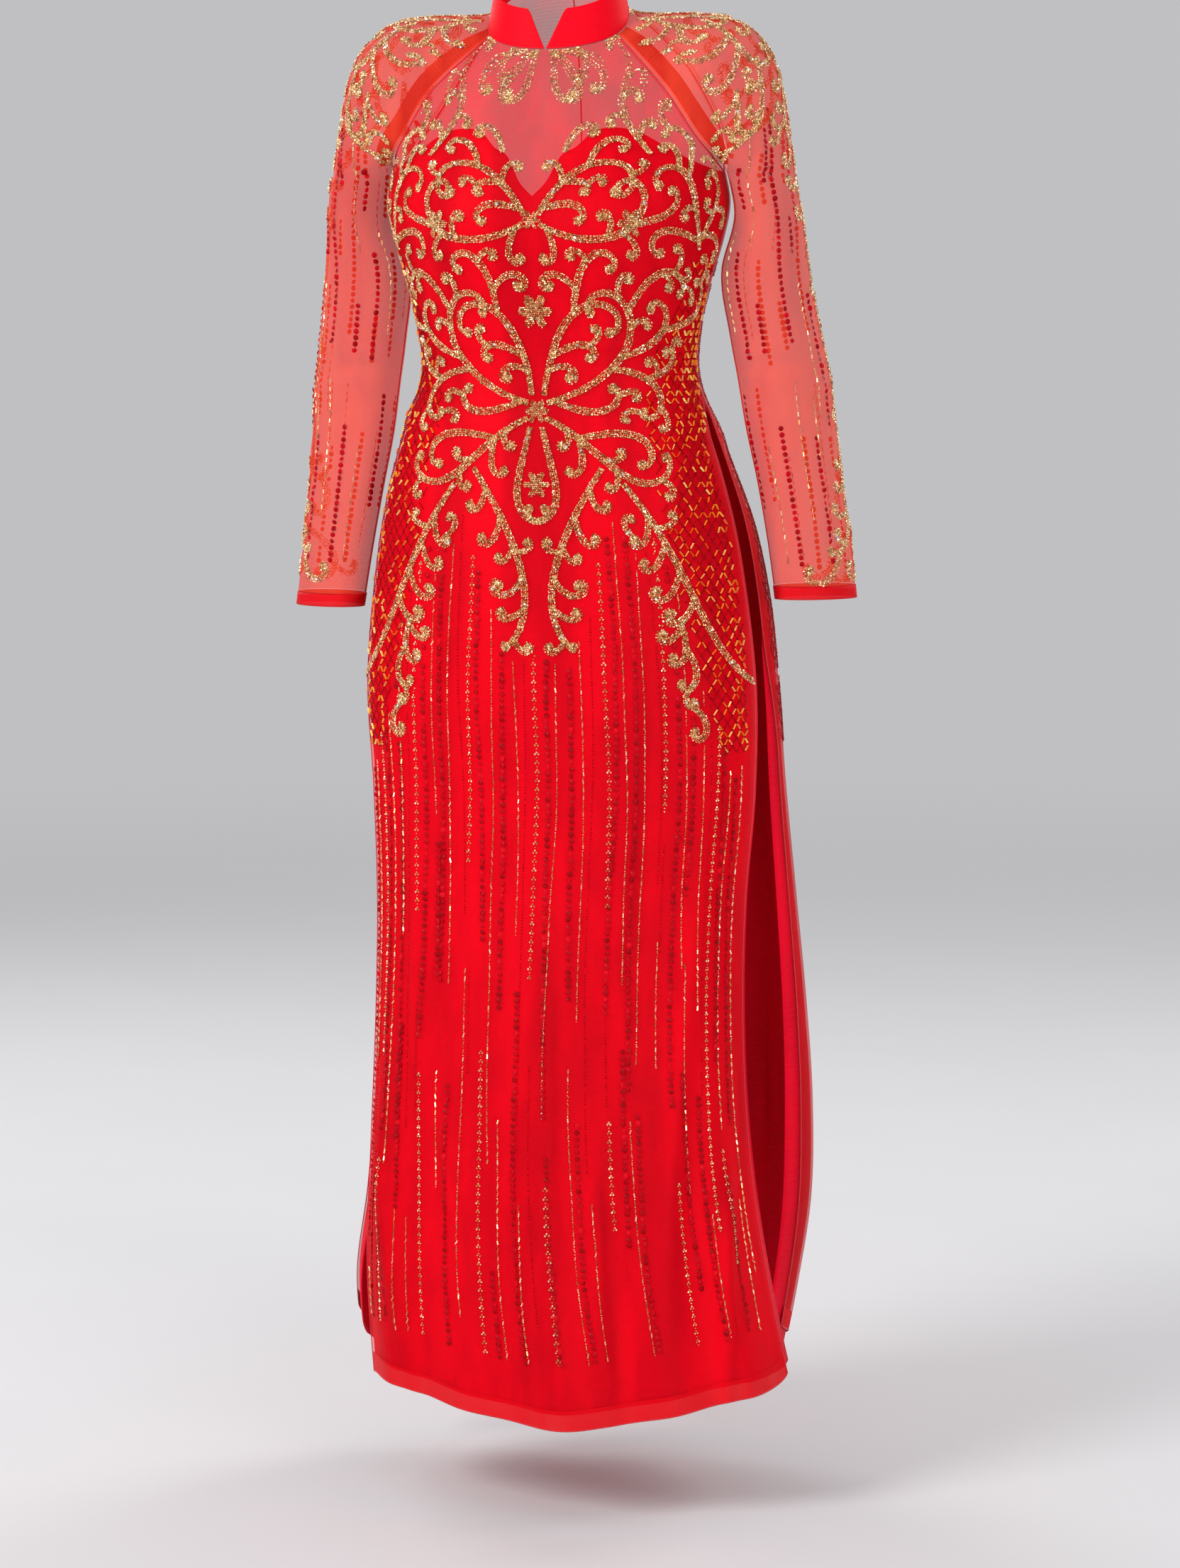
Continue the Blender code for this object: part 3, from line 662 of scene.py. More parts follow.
@dataclass(frozen=True)
class NeckBand:
    """Surface of the stand collar: course 0 at the neck seam to 1 at its top edge."""

    def points(self, height: Array, turn: Array) -> Array:
        """Points of the collar at heights and turns round the neck."""
        base = ring_points(turn)
        back = (1 - np.cos(turn)) / 2
        tall = COLLAR_HEIGHT_FRONT + (COLLAR_HEIGHT_BACK - COLLAR_HEIGHT_FRONT) * back
        middle = np.stack((0 * turn, 0 * turn + RING_MIDDLE, base[..., 2]), axis=-1)
        point = base + (middle - base) * (COLLAR_LEAN * height)[..., None]
        point[..., 2] += COLLAR_SEAM + tall * height
        return point


def fold_height(creases: Sequence[Crease], across: Array, course: Array) -> Array:
    """Height that the creases give a cloth at places in flat metres."""
    total = np.zeros(np.broadcast(across, course).shape)
    for crease in creases:
        lean = math.radians(crease.lean)
        x, y = across - crease.across, course - crease.course
        along = (x * math.cos(lean) + y * math.sin(lean)) / (crease.length / 2)
        off = (y * math.cos(lean) - x * math.sin(lean)) / crease.width
        total += crease.height * np.exp(-off * off - along ** 4)
    return total


class Shell:
    """Dense grid of one cloth's surface, with its normals and flat lengths.

    Rows run from the neck down and columns so that the normals point outwards. Its hand is 1
    where flat places grow with the columns and -1 where they fall.
    """

    def __init__(self, points: Array, courses: Array, places: Array,
                 middle: float, creases: Sequence[Crease] = ()) -> None:
        """Take the surface's points and fold the creases into them.

        Args:
            points: rows and columns of points.
            courses: the course of each point.
            places: the place across of each point, rising or falling along a row.
            middle: the place that flat lengths are measured from.
            creases: soft folds in flat metres.
        """
        self.courses = courses
        run = lengths_along(points)
        self.hand = 1 if places[0, -1] > places[0, 0] else -1
        self.arc = np.empty_like(run)
        for row, (lengths, spots) in enumerate(zip(run, places)):
            zero = np.interp(middle, spots[::self.hand], lengths[::self.hand])
            self.arc[row] = (lengths - zero) * self.hand
        self.points = points
        self.normals = self.facing()
        self.move(fold_height(creases, self.arc, courses))
        self.rows = courses[:, courses.shape[1] // 2]
        self._table()

    def facing(self) -> Array:
        """Unit normals of the grid, outwards."""
        self.down = np.gradient(self.points, axis=0)
        self.along = np.gradient(self.points, axis=1)
        normals = np.cross(self.down, self.along)
        self.down /= np.maximum(np.linalg.norm(self.down, axis=2, keepdims=True), 1e-9)
        self.along /= np.maximum(np.linalg.norm(self.along, axis=2, keepdims=True), 1e-9)
        return normals / np.maximum(np.linalg.norm(normals, axis=2, keepdims=True), 1e-12)

    def move(self, distance: Array | float) -> "Shell":
        """Move the cloth along its normals and return it."""
        lift = np.broadcast_to(distance, self.points.shape[:2])[..., None]
        self.points = self.points + self.normals * lift
        self.normals = self.facing()
        return self

    def _table(self) -> None:
        """Work out which column lies at each flat place of each row."""
        self.reach = np.arange(self.arc.min(), self.arc.max() + TABLE_STEP, TABLE_STEP)
        columns = np.arange(self.arc.shape[1], dtype=float)[::self.hand]
        self.column_of = np.array([np.interp(self.reach, row[::self.hand], columns,
                                             left=np.nan, right=np.nan) for row in self.arc])

    def locate(self, across: Array, course: Array) -> tuple[Array, Array]:
        """Rows and columns of flat places, with nan where the cloth isn't."""
        row = np.interp(-course, -self.rows, np.arange(len(self.rows)), left=np.nan,
                        right=np.nan)
        low = np.clip(np.nan_to_num(row).astype(int), 0, len(self.rows) - 2)
        spot = (across - self.reach[0]) / (self.reach[1] - self.reach[0])
        cell = np.clip(spot.astype(int), 0, len(self.reach) - 2)
        part, share = row - low, spot - cell
        upper = (self.column_of[low, cell] * (1 - share)
                 + self.column_of[low, cell + 1] * share)
        lower = (self.column_of[low + 1, cell] * (1 - share)
                 + self.column_of[low + 1, cell + 1] * share)
        column = upper * (1 - part) + lower * part
        inside = (spot >= 0) & (spot <= len(self.reach) - 1)
        return row, np.where(inside, column, np.nan)

    def sample(self, grid: Array, row: Array, column: Array) -> Array:
        """Values of a grid between its corners."""
        low = np.clip(row.astype(int), 0, grid.shape[0] - 2)
        left = np.clip(column.astype(int), 0, grid.shape[1] - 2)
        part, share = (row - low)[:, None], (column - left)[:, None]
        top = grid[low, left] * (1 - share) + grid[low, left + 1] * share
        bottom = grid[low + 1, left] * (1 - share) + grid[low + 1, left + 1] * share
        return top * (1 - part) + bottom * part

    def piece(self, name: str, wall: float = 0.0, ring_from: int | None = None,
              offset: float = 0.0) -> bpy.types.Object:
        """Object of the cloth.

        Args:
            name: the piece's name.
            wall: thickness given by Solidify, 0 for a single layer.
            ring_from: row from which rows are closed rings.
            offset: Solidify's offset, -1 to grow inwards.

        Returns:
            The object, with flat metres in the UV map "cloth" and, in "edge", the distances
            from the hem and from the nearer side.
        """
        rows, columns = self.points.shape[:2]
        index = np.arange(rows * columns).reshape(rows, columns)
        if ring_from is not None:
            index[ring_from:, -1] = index[ring_from:, 0]
        grid = np.arange(rows * columns).reshape(rows, columns)
        corners = [(slice(None, -1), slice(None, -1)), (slice(1, None), slice(None, -1)),
                   (slice(1, None), slice(1, None)), (slice(None, -1), slice(1, None))]
        faces = np.stack([index[c] for c in corners], axis=-1).reshape(-1, 4)
        spots = np.stack([grid[c] for c in corners], axis=-1).reshape(-1)
        used, faces = np.unique(faces, return_inverse=True)
        data = bpy.data.meshes.new(name)
        data.from_pydata(self.points.reshape(-1, 3)[used].tolist(), [],
                         faces.reshape(-1, 4).tolist())
        hem = np.concatenate((np.linalg.norm(np.diff(self.points, axis=0), axis=2)[::-1]
                              .cumsum(axis=0)[::-1], np.zeros((1, columns))))
        side = np.minimum(np.abs(self.arc - self.arc[:, :1]), np.abs(self.arc - self.arc[:, -1:]))
        for label, first, second in (("cloth", self.arc, self.courses), ("edge", hem, side)):
            layer = data.uv_layers.new(name=label)
            both = np.stack((first, second), axis=-1).reshape(-1, 2)[spots]
            layer.data.foreach_set("uv", both.astype(np.float32).ravel())
        data.shade_smooth()
        made = linked(name, data)
        if wall:
            modifier = made.modifiers.new("wall", "SOLIDIFY")
            modifier.thickness = wall
            modifier.offset = offset
        return made


def panel(body: Body, courses: Array, edge_at: Callable[[Array], Array], hem: Hem,
          columns: int, creases: Sequence[Crease], tops: Callable[[Array], Array] | None = None,
          top_steps: int = 0, crowding: float = 1.0) -> Shell:
    """Shell of a front or back panel.

    Args:
        body: the surface.
        courses: courses of the rows, falling.
        edge_at: place of the side edge at a height.
        hem: the hem's form.
        columns: number of columns on each side of the middle.
        creases: soft folds.
        tops: the top edge's course at each place, for a cloth that doesn't reach the neck.
        top_steps: rows that blend from that edge to the first of courses.
        crowding: over 1, the columns crowd towards the middle.

    Returns:
        The shell.
    """
    spread = np.linspace(-1, 1, 2 * columns + 1)
    spread = np.sign(spread) * np.abs(spread) ** crowding * -body.facing
    course, u = np.meshgrid(courses, spread, indexing="ij")
    u = u * edge_at(course + ARMPIT_Z)
    course = hem_course(course, u, hem)
    if tops is not None:
        share = np.linspace(0, 1, top_steps, endpoint=False)[:, None]
        first = u[0] * np.ones((top_steps, 1))
        top = tops(u[0])
        course = np.concatenate((top + (course[0] - top) * share, course))
        u = np.concatenate((first, u))
    return Shell(body.points(course, u), course, u, 0.0, creases)


def sweetheart_top(body: Body) -> Callable[[Array], Array]:
    """Course of the front lining's top edge at each place across."""
    def top(u: Array) -> Array:
        low, high = np.full(u.shape, -0.060), np.full(u.shape, 2.5 * STATION_RISE)
        heights = np.array(SWEETHEART[1])[:, None]
        for _ in range(30):
            middle = (low + high) / 2
            point = body.points(middle, u)
            edge = smooth(SWEETHEART[0], heights, np.abs(point[:, 0]))[:, 0]
            under = point[:, 2] < edge
            low, high = np.where(under, middle, low), np.where(under, high, middle)
        return low
    return top


def tube(name: str, centres: Array, normals: Array, radius: float,
         flat: float = 1.0, sides: int = 6) -> bpy.types.Object:
    """Object of a thin cord along a line of points.

    Args:
        name: the piece's name.
        centres: the line's points.
        normals: outward direction at each point.
        radius: half of its width.
        flat: its height as a share of its width.
        sides: sides of its section.

    Returns:
        The object, closed at both ends.
    """
    ahead = np.gradient(centres, axis=0)
    ahead /= np.maximum(np.linalg.norm(ahead, axis=1, keepdims=True), 1e-9)
    across = np.cross(ahead, normals)
    across /= np.maximum(np.linalg.norm(across, axis=1, keepdims=True), 1e-9)
    out = np.cross(across, ahead)
    turn = np.linspace(0, 2 * math.pi, sides, endpoint=False)
    rings = (centres[:, None] + radius * np.cos(turn)[None, :, None] * across[:, None]
             + radius * flat * np.sin(turn)[None, :, None] * out[:, None])
    count = len(centres)
    faces = [(i * sides + j, i * sides + (j + 1) % sides,
              (i + 1) * sides + (j + 1) % sides, (i + 1) * sides + j)
             for i in range(count - 1) for j in range(sides)]
    faces.append(tuple(range(sides))[::-1])
    faces.append(tuple((count - 1) * sides + j for j in range(sides)))
    data = bpy.data.meshes.new(name)
    data.from_pydata(rings.reshape(-1, 3).tolist(), [], faces)
    data.shade_smooth()
    return linked(name, data)


class Number:
    """Number of a shader: Python's operators on it add Math nodes."""

    def __init__(self, paint: "Paint", socket: bpy.types.NodeSocket) -> None:
        """Wrap one output socket of a paint's tree."""
        self.paint = paint
        self.socket = socket

    def math(self, operation: str, *others: "Number | float") -> "Number":
        """Result of a Math node on this number and others."""
        return self.paint.math(operation, self, *others)

    def __add__(self, other: "Number | float") -> "Number":
        """Sum."""
        return self.math("ADD", other)

    __radd__ = __add__

    def __sub__(self, other: "Number | float") -> "Number":
        """Difference."""
        return self.math("SUBTRACT", other)

    def __rsub__(self, other: "Number | float") -> "Number":
        """Difference from a number on the left."""
        return self.paint.math("SUBTRACT", other, self)

    def __mul__(self, other: "Number | float") -> "Number":
        """Product."""
        return self.math("MULTIPLY", other)

    __rmul__ = __mul__

    def __truediv__(self, other: "Number | float") -> "Number":
        """Quotient."""
        return self.math("DIVIDE", other)


class Paint:
    """Material of one finish and the nodes that make it."""

    def __init__(self, name: str) -> None:
        """Make the material and find its Principled shader."""
        self.material = bpy.data.materials.new(name)
        self.material.use_nodes = True
        self.tree = self.material.node_tree
        self.shader = self.tree.nodes["Principled BSDF"]

    def node(self, kind: str, settings: dict | None = None,
             inputs: dict | None = None) -> bpy.types.Node:
        """Add one node.

        Args:
            kind: the node's type.
            settings: its settings, set first.
            inputs: values, numbers or sockets for its sockets, by name or index.

        Returns:
            The node.
        """
        made = self.tree.nodes.new(kind)
        for key, value in (settings or {}).items():
            setattr(made, key, value)
        for key, value in (inputs or {}).items():
            self.feed(made.inputs[key], value)
        return made

    def feed(self, socket: bpy.types.NodeSocket, value: object) -> None:
        """Link a number or a socket to a socket, or set its value."""
        if isinstance(value, Number):
            self.tree.links.new(value.socket, socket)
        elif isinstance(value, bpy.types.NodeSocket):
            self.tree.links.new(value, socket)
        else:
            socket.default_value = value

    def math(self, operation: str, *values: "Number | float") -> Number:
        """Number of a Math node."""
        made = self.node("ShaderNodeMath", {"operation": operation}, dict(enumerate(values)))
        return Number(self, made.outputs[0])

    def mix(self, share: "Number | float", first: object, second: object) -> object:
        """Colour between two colours."""
        made = self.node("ShaderNodeMix", {"data_type": "RGBA"}, {0: share, 6: first, 7: second})
        return made.outputs[2]

    def flat(self, label: str) -> tuple[Number, Number]:
        """The two numbers of a UV map, in metres."""
        return self.axes(self.node("ShaderNodeUVMap", {"uv_map": label}).outputs[0])

    def axes(self, spot: bpy.types.NodeSocket) -> tuple[Number, Number]:
        """X and Y of a position."""
        parts = self.node("ShaderNodeSeparateXYZ", None, {0: spot})
        return Number(self, parts.outputs[0]), Number(self, parts.outputs[1])

    def noise(self, scale: float, detail: float = 3.0, stretch: tuple = (1.0, 1.0, 1.0)) -> Number:
        """Noise in the object's own metres.

        Args:
            scale: cells for each metre.
            detail: octaves.
            stretch: scale of each axis.

        Returns:
            The noise, about 0.5 in the middle.
        """
        spot = self.node("ShaderNodeTexCoord")
        turned = self.node("ShaderNodeMapping", None,
                           {"Vector": spot.outputs["Object"], "Scale": stretch})
        made = self.node("ShaderNodeTexNoise", None,
                         {"Vector": turned.outputs[0], "Scale": scale, "Detail": detail})
        return Number(self, made.outputs[0])

    def step(self, value: Number, low: float, high: float) -> Number:
        """Smooth mask: 0 where the number is under low, 1 over high, or the reverse."""
        made = self.node("ShaderNodeMapRange", {"interpolation_type": "SMOOTHSTEP"},
                         {0: value, 1: low, 2: high, 3: 0.0, 4: 1.0})
        return Number(self, made.outputs[0])

    def tint(self, label: str) -> Number:
        """Number that each bead carries."""
        made = self.node("ShaderNodeAttribute", {"attribute_name": label})
        return Number(self, made.outputs["Fac"])

    def bump(self, height: Number, strength: float, distance: float) -> None:
        """Give the surface a fine relief."""
        made = self.node("ShaderNodeBump", None,
                         {"Strength": strength, "Distance": distance, "Height": height})
        self.tree.links.new(made.outputs[0], self.shader.inputs["Normal"])

    def finish(self, **sockets: object) -> bpy.types.Material:
        """Set or link sockets of the shader, named with _ for spaces, and return the material."""
        for label, value in sockets.items():
            self.feed(self.shader.inputs[label.replace("_", " ")], value)
        return self.material


@dataclass(frozen=True)
class Crepe:
    """Finish of opaque crepe: fine pebbled grain, cross threads, a soft sheen, painted fold shade.
    """

    name: str
    light: Colour
    deep: Colour
    roughness: float = 0.58
    grain: float = 900.0
    thread: float = 2600.0

    def material(self) -> bpy.types.Material:
        """Build the material."""
        paint = Paint(self.name)
        across, course = paint.flat("cloth")
        slub = paint.noise(220.0, 4.0, (0.25, 0.25, 2.4))
        pebble = paint.noise(self.grain, 2.0)
        broad = paint.noise(7.0, 2.0)
        threads = (course * self.thread).math("SINE") * 0.5 + 0.5
        ribs = (across * self.thread).math("SINE") * 0.5 + 0.5
        # Noise stretched along the height: painted shade of soft vertical folds, mixed into the
        # colour
        painted_fold_shade = paint.noise(24.0, 2.0, (1.0, 1.0, 0.05))
        shade = broad * 0.25 + painted_fold_shade * 0.45 + slub * 0.20 + pebble * 0.20 - 0.04
        colour = paint.mix(paint.step(shade, 0.36, 0.62), self.deep, self.light)
        paint.bump(pebble * 0.6 + slub * 0.5 + threads * 0.16 + ribs * 0.10, 0.35, 0.0006)
        return paint.finish(Base_Color=colour, Roughness=self.roughness + 0.16 * (0.5 - slub),
                            Sheen_Weight=0.03, Sheen_Tint=self.light,
                            Specular_IOR_Level=0.06)


@dataclass(frozen=True)
class Net:
    """Finish of sheer net: a fine even mesh, denser in its hems, with painted shade of vertical
    folds.
    """

    name: str
    light: Colour
    deep: Colour
    cover: float
    hem_cover: float = 0.0
    hem_depth: float = HEM_BAND
    side_cover: float = 0.18
    side_depth: float = 0.004
    hem_fade: float = 0.0008
    side_fade: float = 0.001
    pitch: float = 0.0011
    slant: float = 0.5
    hem_shade: float = 2.0
    densest: float = 0.985

    def material(self) -> bpy.types.Material:
        """Build the material."""
        paint = Paint(self.name)
        across, course = paint.flat("cloth")
        hem, side = paint.flat("edge")
        turn = 2 * math.pi / self.pitch
        lines = ((across + course * self.slant) * turn).math("SINE")
        cross = ((across - course * self.slant) * turn).math("SINE")
        mesh = (lines * cross) * 0.5 + 0.5
        broad = paint.noise(9.0, 3.0)
        cloudy = paint.noise(60.0, 3.0, (1.0, 1.0, 0.35))
        in_hem = 1 - paint.step(hem, self.hem_depth - self.hem_fade, self.hem_depth)
        in_side = 1 - paint.step(side, self.side_depth - self.side_fade, self.side_depth)
        # Noise stretched along the height: painted shade of soft vertical folds, darkening the
        # colour
        painted_fold_shade = paint.noise(20.0, 2.0, (1.0, 1.0, 0.06))
        cover = (self.cover + (mesh - 0.5) * 0.14 + (broad - 0.5) * 0.12 + (cloudy - 0.5) * 0.10
                 + in_hem * self.hem_cover + in_side * self.side_cover)
        colour = paint.mix(paint.step(painted_fold_shade * 0.7 + cloudy * 0.3, 0.38, 0.60), self.deep,
                           self.light)
        # The hem band's colour deepens: partly the doubled net's own deeper red, partly painted
        # shade
        colour = paint.mix(in_hem * (self.hem_shade * self.hem_cover), colour, self.deep)
        paint.bump(mesh * 0.4 + cloudy * 0.3, 0.25, 0.0004)
        return paint.finish(Base_Color=colour, Roughness=0.52 + 0.12 * cloudy,
                            Alpha=cover.math("MINIMUM", self.densest), Sheen_Weight=0.02,
                            Sheen_Tint=self.light, Specular_IOR_Level=0.04)


@dataclass(frozen=True)
class Glass:
    """Finish of sewn beads: each bead has its own share of the deep, warm and bright colours; on
    gold and amber beads the bright colour is partly painted glints.
    """

    name: str
    deep: Colour
    warm: Colour
    bright: Colour
    metallic: float
    roughness: float
    coat: float = 0.4
    shine: float = 0.5

    def material(self) -> bpy.types.Material:
        """Build the material."""
        paint = Paint(self.name)
        tint = paint.tint("tint")
        wear = paint.noise(700.0, 2.0)
        # Each bead's own tone; on gold and amber beads the bright end stands in partly as painted
        # glints
        low = paint.mix(paint.step(tint, 0.0, 0.55), self.deep, self.warm)
        colour = paint.mix(paint.step(tint, 0.60, 1.0), low, self.bright)
        return paint.finish(Base_Color=colour, Metallic=self.metallic,
                            Roughness=self.roughness + 0.14 * wear,
                            Coat_Weight=self.coat, Coat_Roughness=0.08,
                            Specular_IOR_Level=self.shine)


@dataclass(frozen=True)
class Thread:
    """Finish of seams and rolled edges: twisted red thread over folded net."""

    name: str
    light: Colour
    deep: Colour
    twist: float = 900.0

    def material(self) -> bpy.types.Material:
        """Build the material."""
        paint = Paint(self.name)
        twist = paint.noise(self.twist, 2.0)
        colour = paint.mix(paint.step(twist, 0.35, 0.65), self.deep, self.light)
        paint.bump(twist, 0.5, 0.0003)
        return paint.finish(Base_Color=colour, Roughness=0.55 + 0.2 * twist, Sheen_Weight=0.2)


RED_NET = Net("red_net", (0.84, 0.058, 0.024, 1.0), (0.70, 0.028, 0.014, 1.0), 0.58)
HEMMED_NET = Net("hemmed_net", (0.84, 0.0010, 0.008, 1.0), (0.62, 0.0005, 0.006, 1.0), 0.58,
                 hem_cover=0.42)
CUFF_NET = Net("cuff_net", (0.72, 0.006, 0.012, 1.0), (0.52, 0.003, 0.008, 1.0), 0.84)
STRIP_NET = Net("strip_net", (0.56, 0.002, 0.010, 1.0), (0.42, 0.001, 0.006, 1.0), 0.86)
CRIMSON_CREPE = Crepe("crimson_crepe", (0.84, 0.0005, 0.020, 1.0), (0.58, 0.0003, 0.014, 1.0))
COLLAR_CREPE = Crepe("collar_crepe", (0.86, 0.0008, 0.012, 1.0), (0.66, 0.0005, 0.009, 1.0))
GOLD_BEAD = Glass("gold_bead", (0.28, 0.115, 0.032, 1.0), (0.74, 0.385, 0.135, 1.0),
                  (1.0, 0.86, 0.54, 1.0), 0.60, 0.24)
RUBY_BEAD = Glass("ruby_bead", (0.28, 0.0001, 0.003, 1.0), (0.44, 0.0002, 0.006, 1.0),
                  (0.80, 0.003, 0.012, 1.0), 0.0, 0.45, 0.02, 0.06)
GARNET_BEAD = Glass("garnet_bead", (0.20, 0.0002, 0.003, 1.0), (0.38, 0.0004, 0.003, 1.0),
                    (0.78, 0.008, 0.004, 1.0), 0.0, 0.40, 0.02, 0.06)
AMBER_BUGLE = Glass("amber_bugle", (0.85, 0.11, 0.003, 1.0), (1.0, 0.34, 0.014, 1.0),
                    (1.0, 0.74, 0.18, 1.0), 0.40, 0.20)
CRYSTAL = Glass("crystal", (0.62, 0.58, 0.60, 1.0), (0.86, 0.84, 0.86, 1.0),
                (1.0, 0.98, 0.98, 1.0), 0.85, 0.06, 1.0)
SEAM_THREAD = Thread("seam_thread", (0.62, 0.004, 0.012, 1.0), (0.40, 0.001, 0.006, 1.0))


class Shape(Enum):
    """Form of a bead, in half sizes along, across and out."""

    ROUND = "round"
    BUGLE = "bugle"
    FLOWER = "flower"

    def corners(self) -> tuple[Array, Array]:
        """Corners and triangles of the form."""
        if self is Shape.ROUND:
            corners = np.array(((1, 0, 0), (0, 1, 0), (-1, 0, 0), (0, -1, 0),
                                (0, 0, 1), (0, 0, -1)), dtype=float)
            return corners, np.array([(i, (i + 1) % 4, 4) for i in range(4)]
                                     + [((i + 1) % 4, i, 5) for i in range(4)])
        if self is Shape.BUGLE:
            ends = [(end, math.cos(a), math.sin(a)) for end in (-1, 1)
                    for a in np.radians((90, 210, 330))]
            sides = []
            for i in range(3):
                j = (i + 1) % 3
                sides += [(i, j, j + 3), (i, j + 3, i + 3)]
            return np.array(ends), np.array(sides + [(2, 1, 0), (3, 4, 5)])
        turn = np.radians(np.arange(0, 360, 60))
        rim = [(math.cos(a), math.sin(a), 0.0) for a in turn]
        corners = np.array(rim + [(0, 0, 1), (0, 0, -0.5)], dtype=float)
        return corners, np.array([(i, (i + 1) % 6, 6) for i in range(6)]
                                 + [((i + 1) % 6, i, 7) for i in range(6)])


class Beads:
    """Beads of one finish that are laid on cloths and joined in one mesh."""

    def __init__(self, name: str, finish: Glass) -> None:
        """Start with no beads."""
        self.name = name
        self.finish = finish
        self.luck = np.random.default_rng(SEED)
        self.corners: list[Array] = []
        self.faces: list[Array] = []
        self.tints: list[Array] = []
        self.total = 0

    def lay(self, shell: Shell, across: Array, course: Array, heading: Array, size: Size,
            shape: Shape = Shape.ROUND, tint: Point = (0.0, 1.0), loose: float = 0.12) -> None:
        """Lay beads on a cloth.

        Args:
            shell: the cloth.
            across: flat places of the beads, where those off the cloth are dropped.
            course: their courses.
            heading: their turn from level, in radians.
            size: length, width and height of a bead.
            shape: its form.
            tint: range of the beads' colours.
            loose: share by which sizes and turns vary.
        """
        across, course, heading = np.broadcast_arrays(across, course, heading)
        row, column = shell.locate(across, course)
        kept = np.isfinite(row) & np.isfinite(column)
        self.place(shell, row[kept], column[kept], heading[kept], size, shape, tint, loose)

    def place(self, shell: Shell, row: Array, column: Array, heading: Array, size: Size,
              shape: Shape, tint: Point, loose: float) -> None:
        """Lay beads at rows and columns of a cloth's grid, with lay's other arguments."""
        count = len(row)
        if not count:
            return
        luck = self.luck
        out = shell.sample(shell.normals, row, column)
        out /= np.linalg.norm(out, axis=1, keepdims=True)
        across = shell.sample(shell.along * shell.hand, row, column)
        across -= out * np.sum(across * out, axis=1, keepdims=True)
        across /= np.linalg.norm(across, axis=1, keepdims=True)
        up = -shell.sample(shell.down, row, column)
        up -= out * np.sum(up * out, axis=1, keepdims=True)
        up -= across * np.sum(up * across, axis=1, keepdims=True)
        up /= np.linalg.norm(up, axis=1, keepdims=True)
        heading = heading + luck.normal(0, loose, count)
        ahead = (across * np.cos(heading)[:, None] + up * np.sin(heading)[:, None])
        aside = np.cross(out, ahead)
        tilt = luck.normal(0, loose * 1.6, (count, 2))
        lean = out + ahead * tilt[:, :1] + aside * tilt[:, 1:]
        lean /= np.linalg.norm(lean, axis=1, keepdims=True)
        ahead -= lean * np.sum(ahead * lean, axis=1, keepdims=True)
        ahead /= np.linalg.norm(ahead, axis=1, keepdims=True)
        aside = np.cross(lean, ahead)
        scale = 1 + luck.uniform(-loose, loose, (count, 1))
        half = np.array(size) / 2
        centre = shell.sample(shell.points, row, column) + out * (half[2] * 0.9 * scale)
        corners, faces = shape.corners()
        corners = corners * half
        spots = (centre[:, None] + scale[:, :, None]
                 * (corners[None, :, :1] * ahead[:, None]
                    + corners[None, :, 1:2] * aside[:, None]
                    + corners[None, :, 2:] * lean[:, None]))
        self.corners.append(spots.reshape(-1, 3))
        each = len(corners)
        base = self.total + each * np.arange(count)[:, None, None]
        self.faces.append((faces[None] + base).reshape(-1, 3))
        low, high = tint
        self.tints.append(np.repeat(luck.uniform(low, high, count), each))
        self.total += each * count

    def piece(self) -> bpy.types.Object:
        """Object of all the beads."""
        data = bpy.data.meshes.new(self.name)
        data.from_pydata(np.concatenate(self.corners).tolist(), [],
                         np.concatenate(self.faces).tolist())
        layer = data.attributes.new("tint", "FLOAT", "POINT")
        layer.data.foreach_set("value", np.concatenate(self.tints).astype(np.float32))
        data.materials.append(self.finish.material())
        return linked(self.name, data)


def settle(piece: bpy.types.Object, slot: str, *nodes: str) -> bpy.types.Object:
    """Put a finished piece on the body.

    Args:
        piece: the piece.
        slot: the record's slot for the piece, not used.
        nodes: the CAD nodes that it stands for.

    Returns:
        The piece.
    """
    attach(piece, BODY)
    if nodes:
        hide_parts(*nodes)
    LOG.info("%s: %d faces", piece.name, len(piece.data.polygons))
    return piece


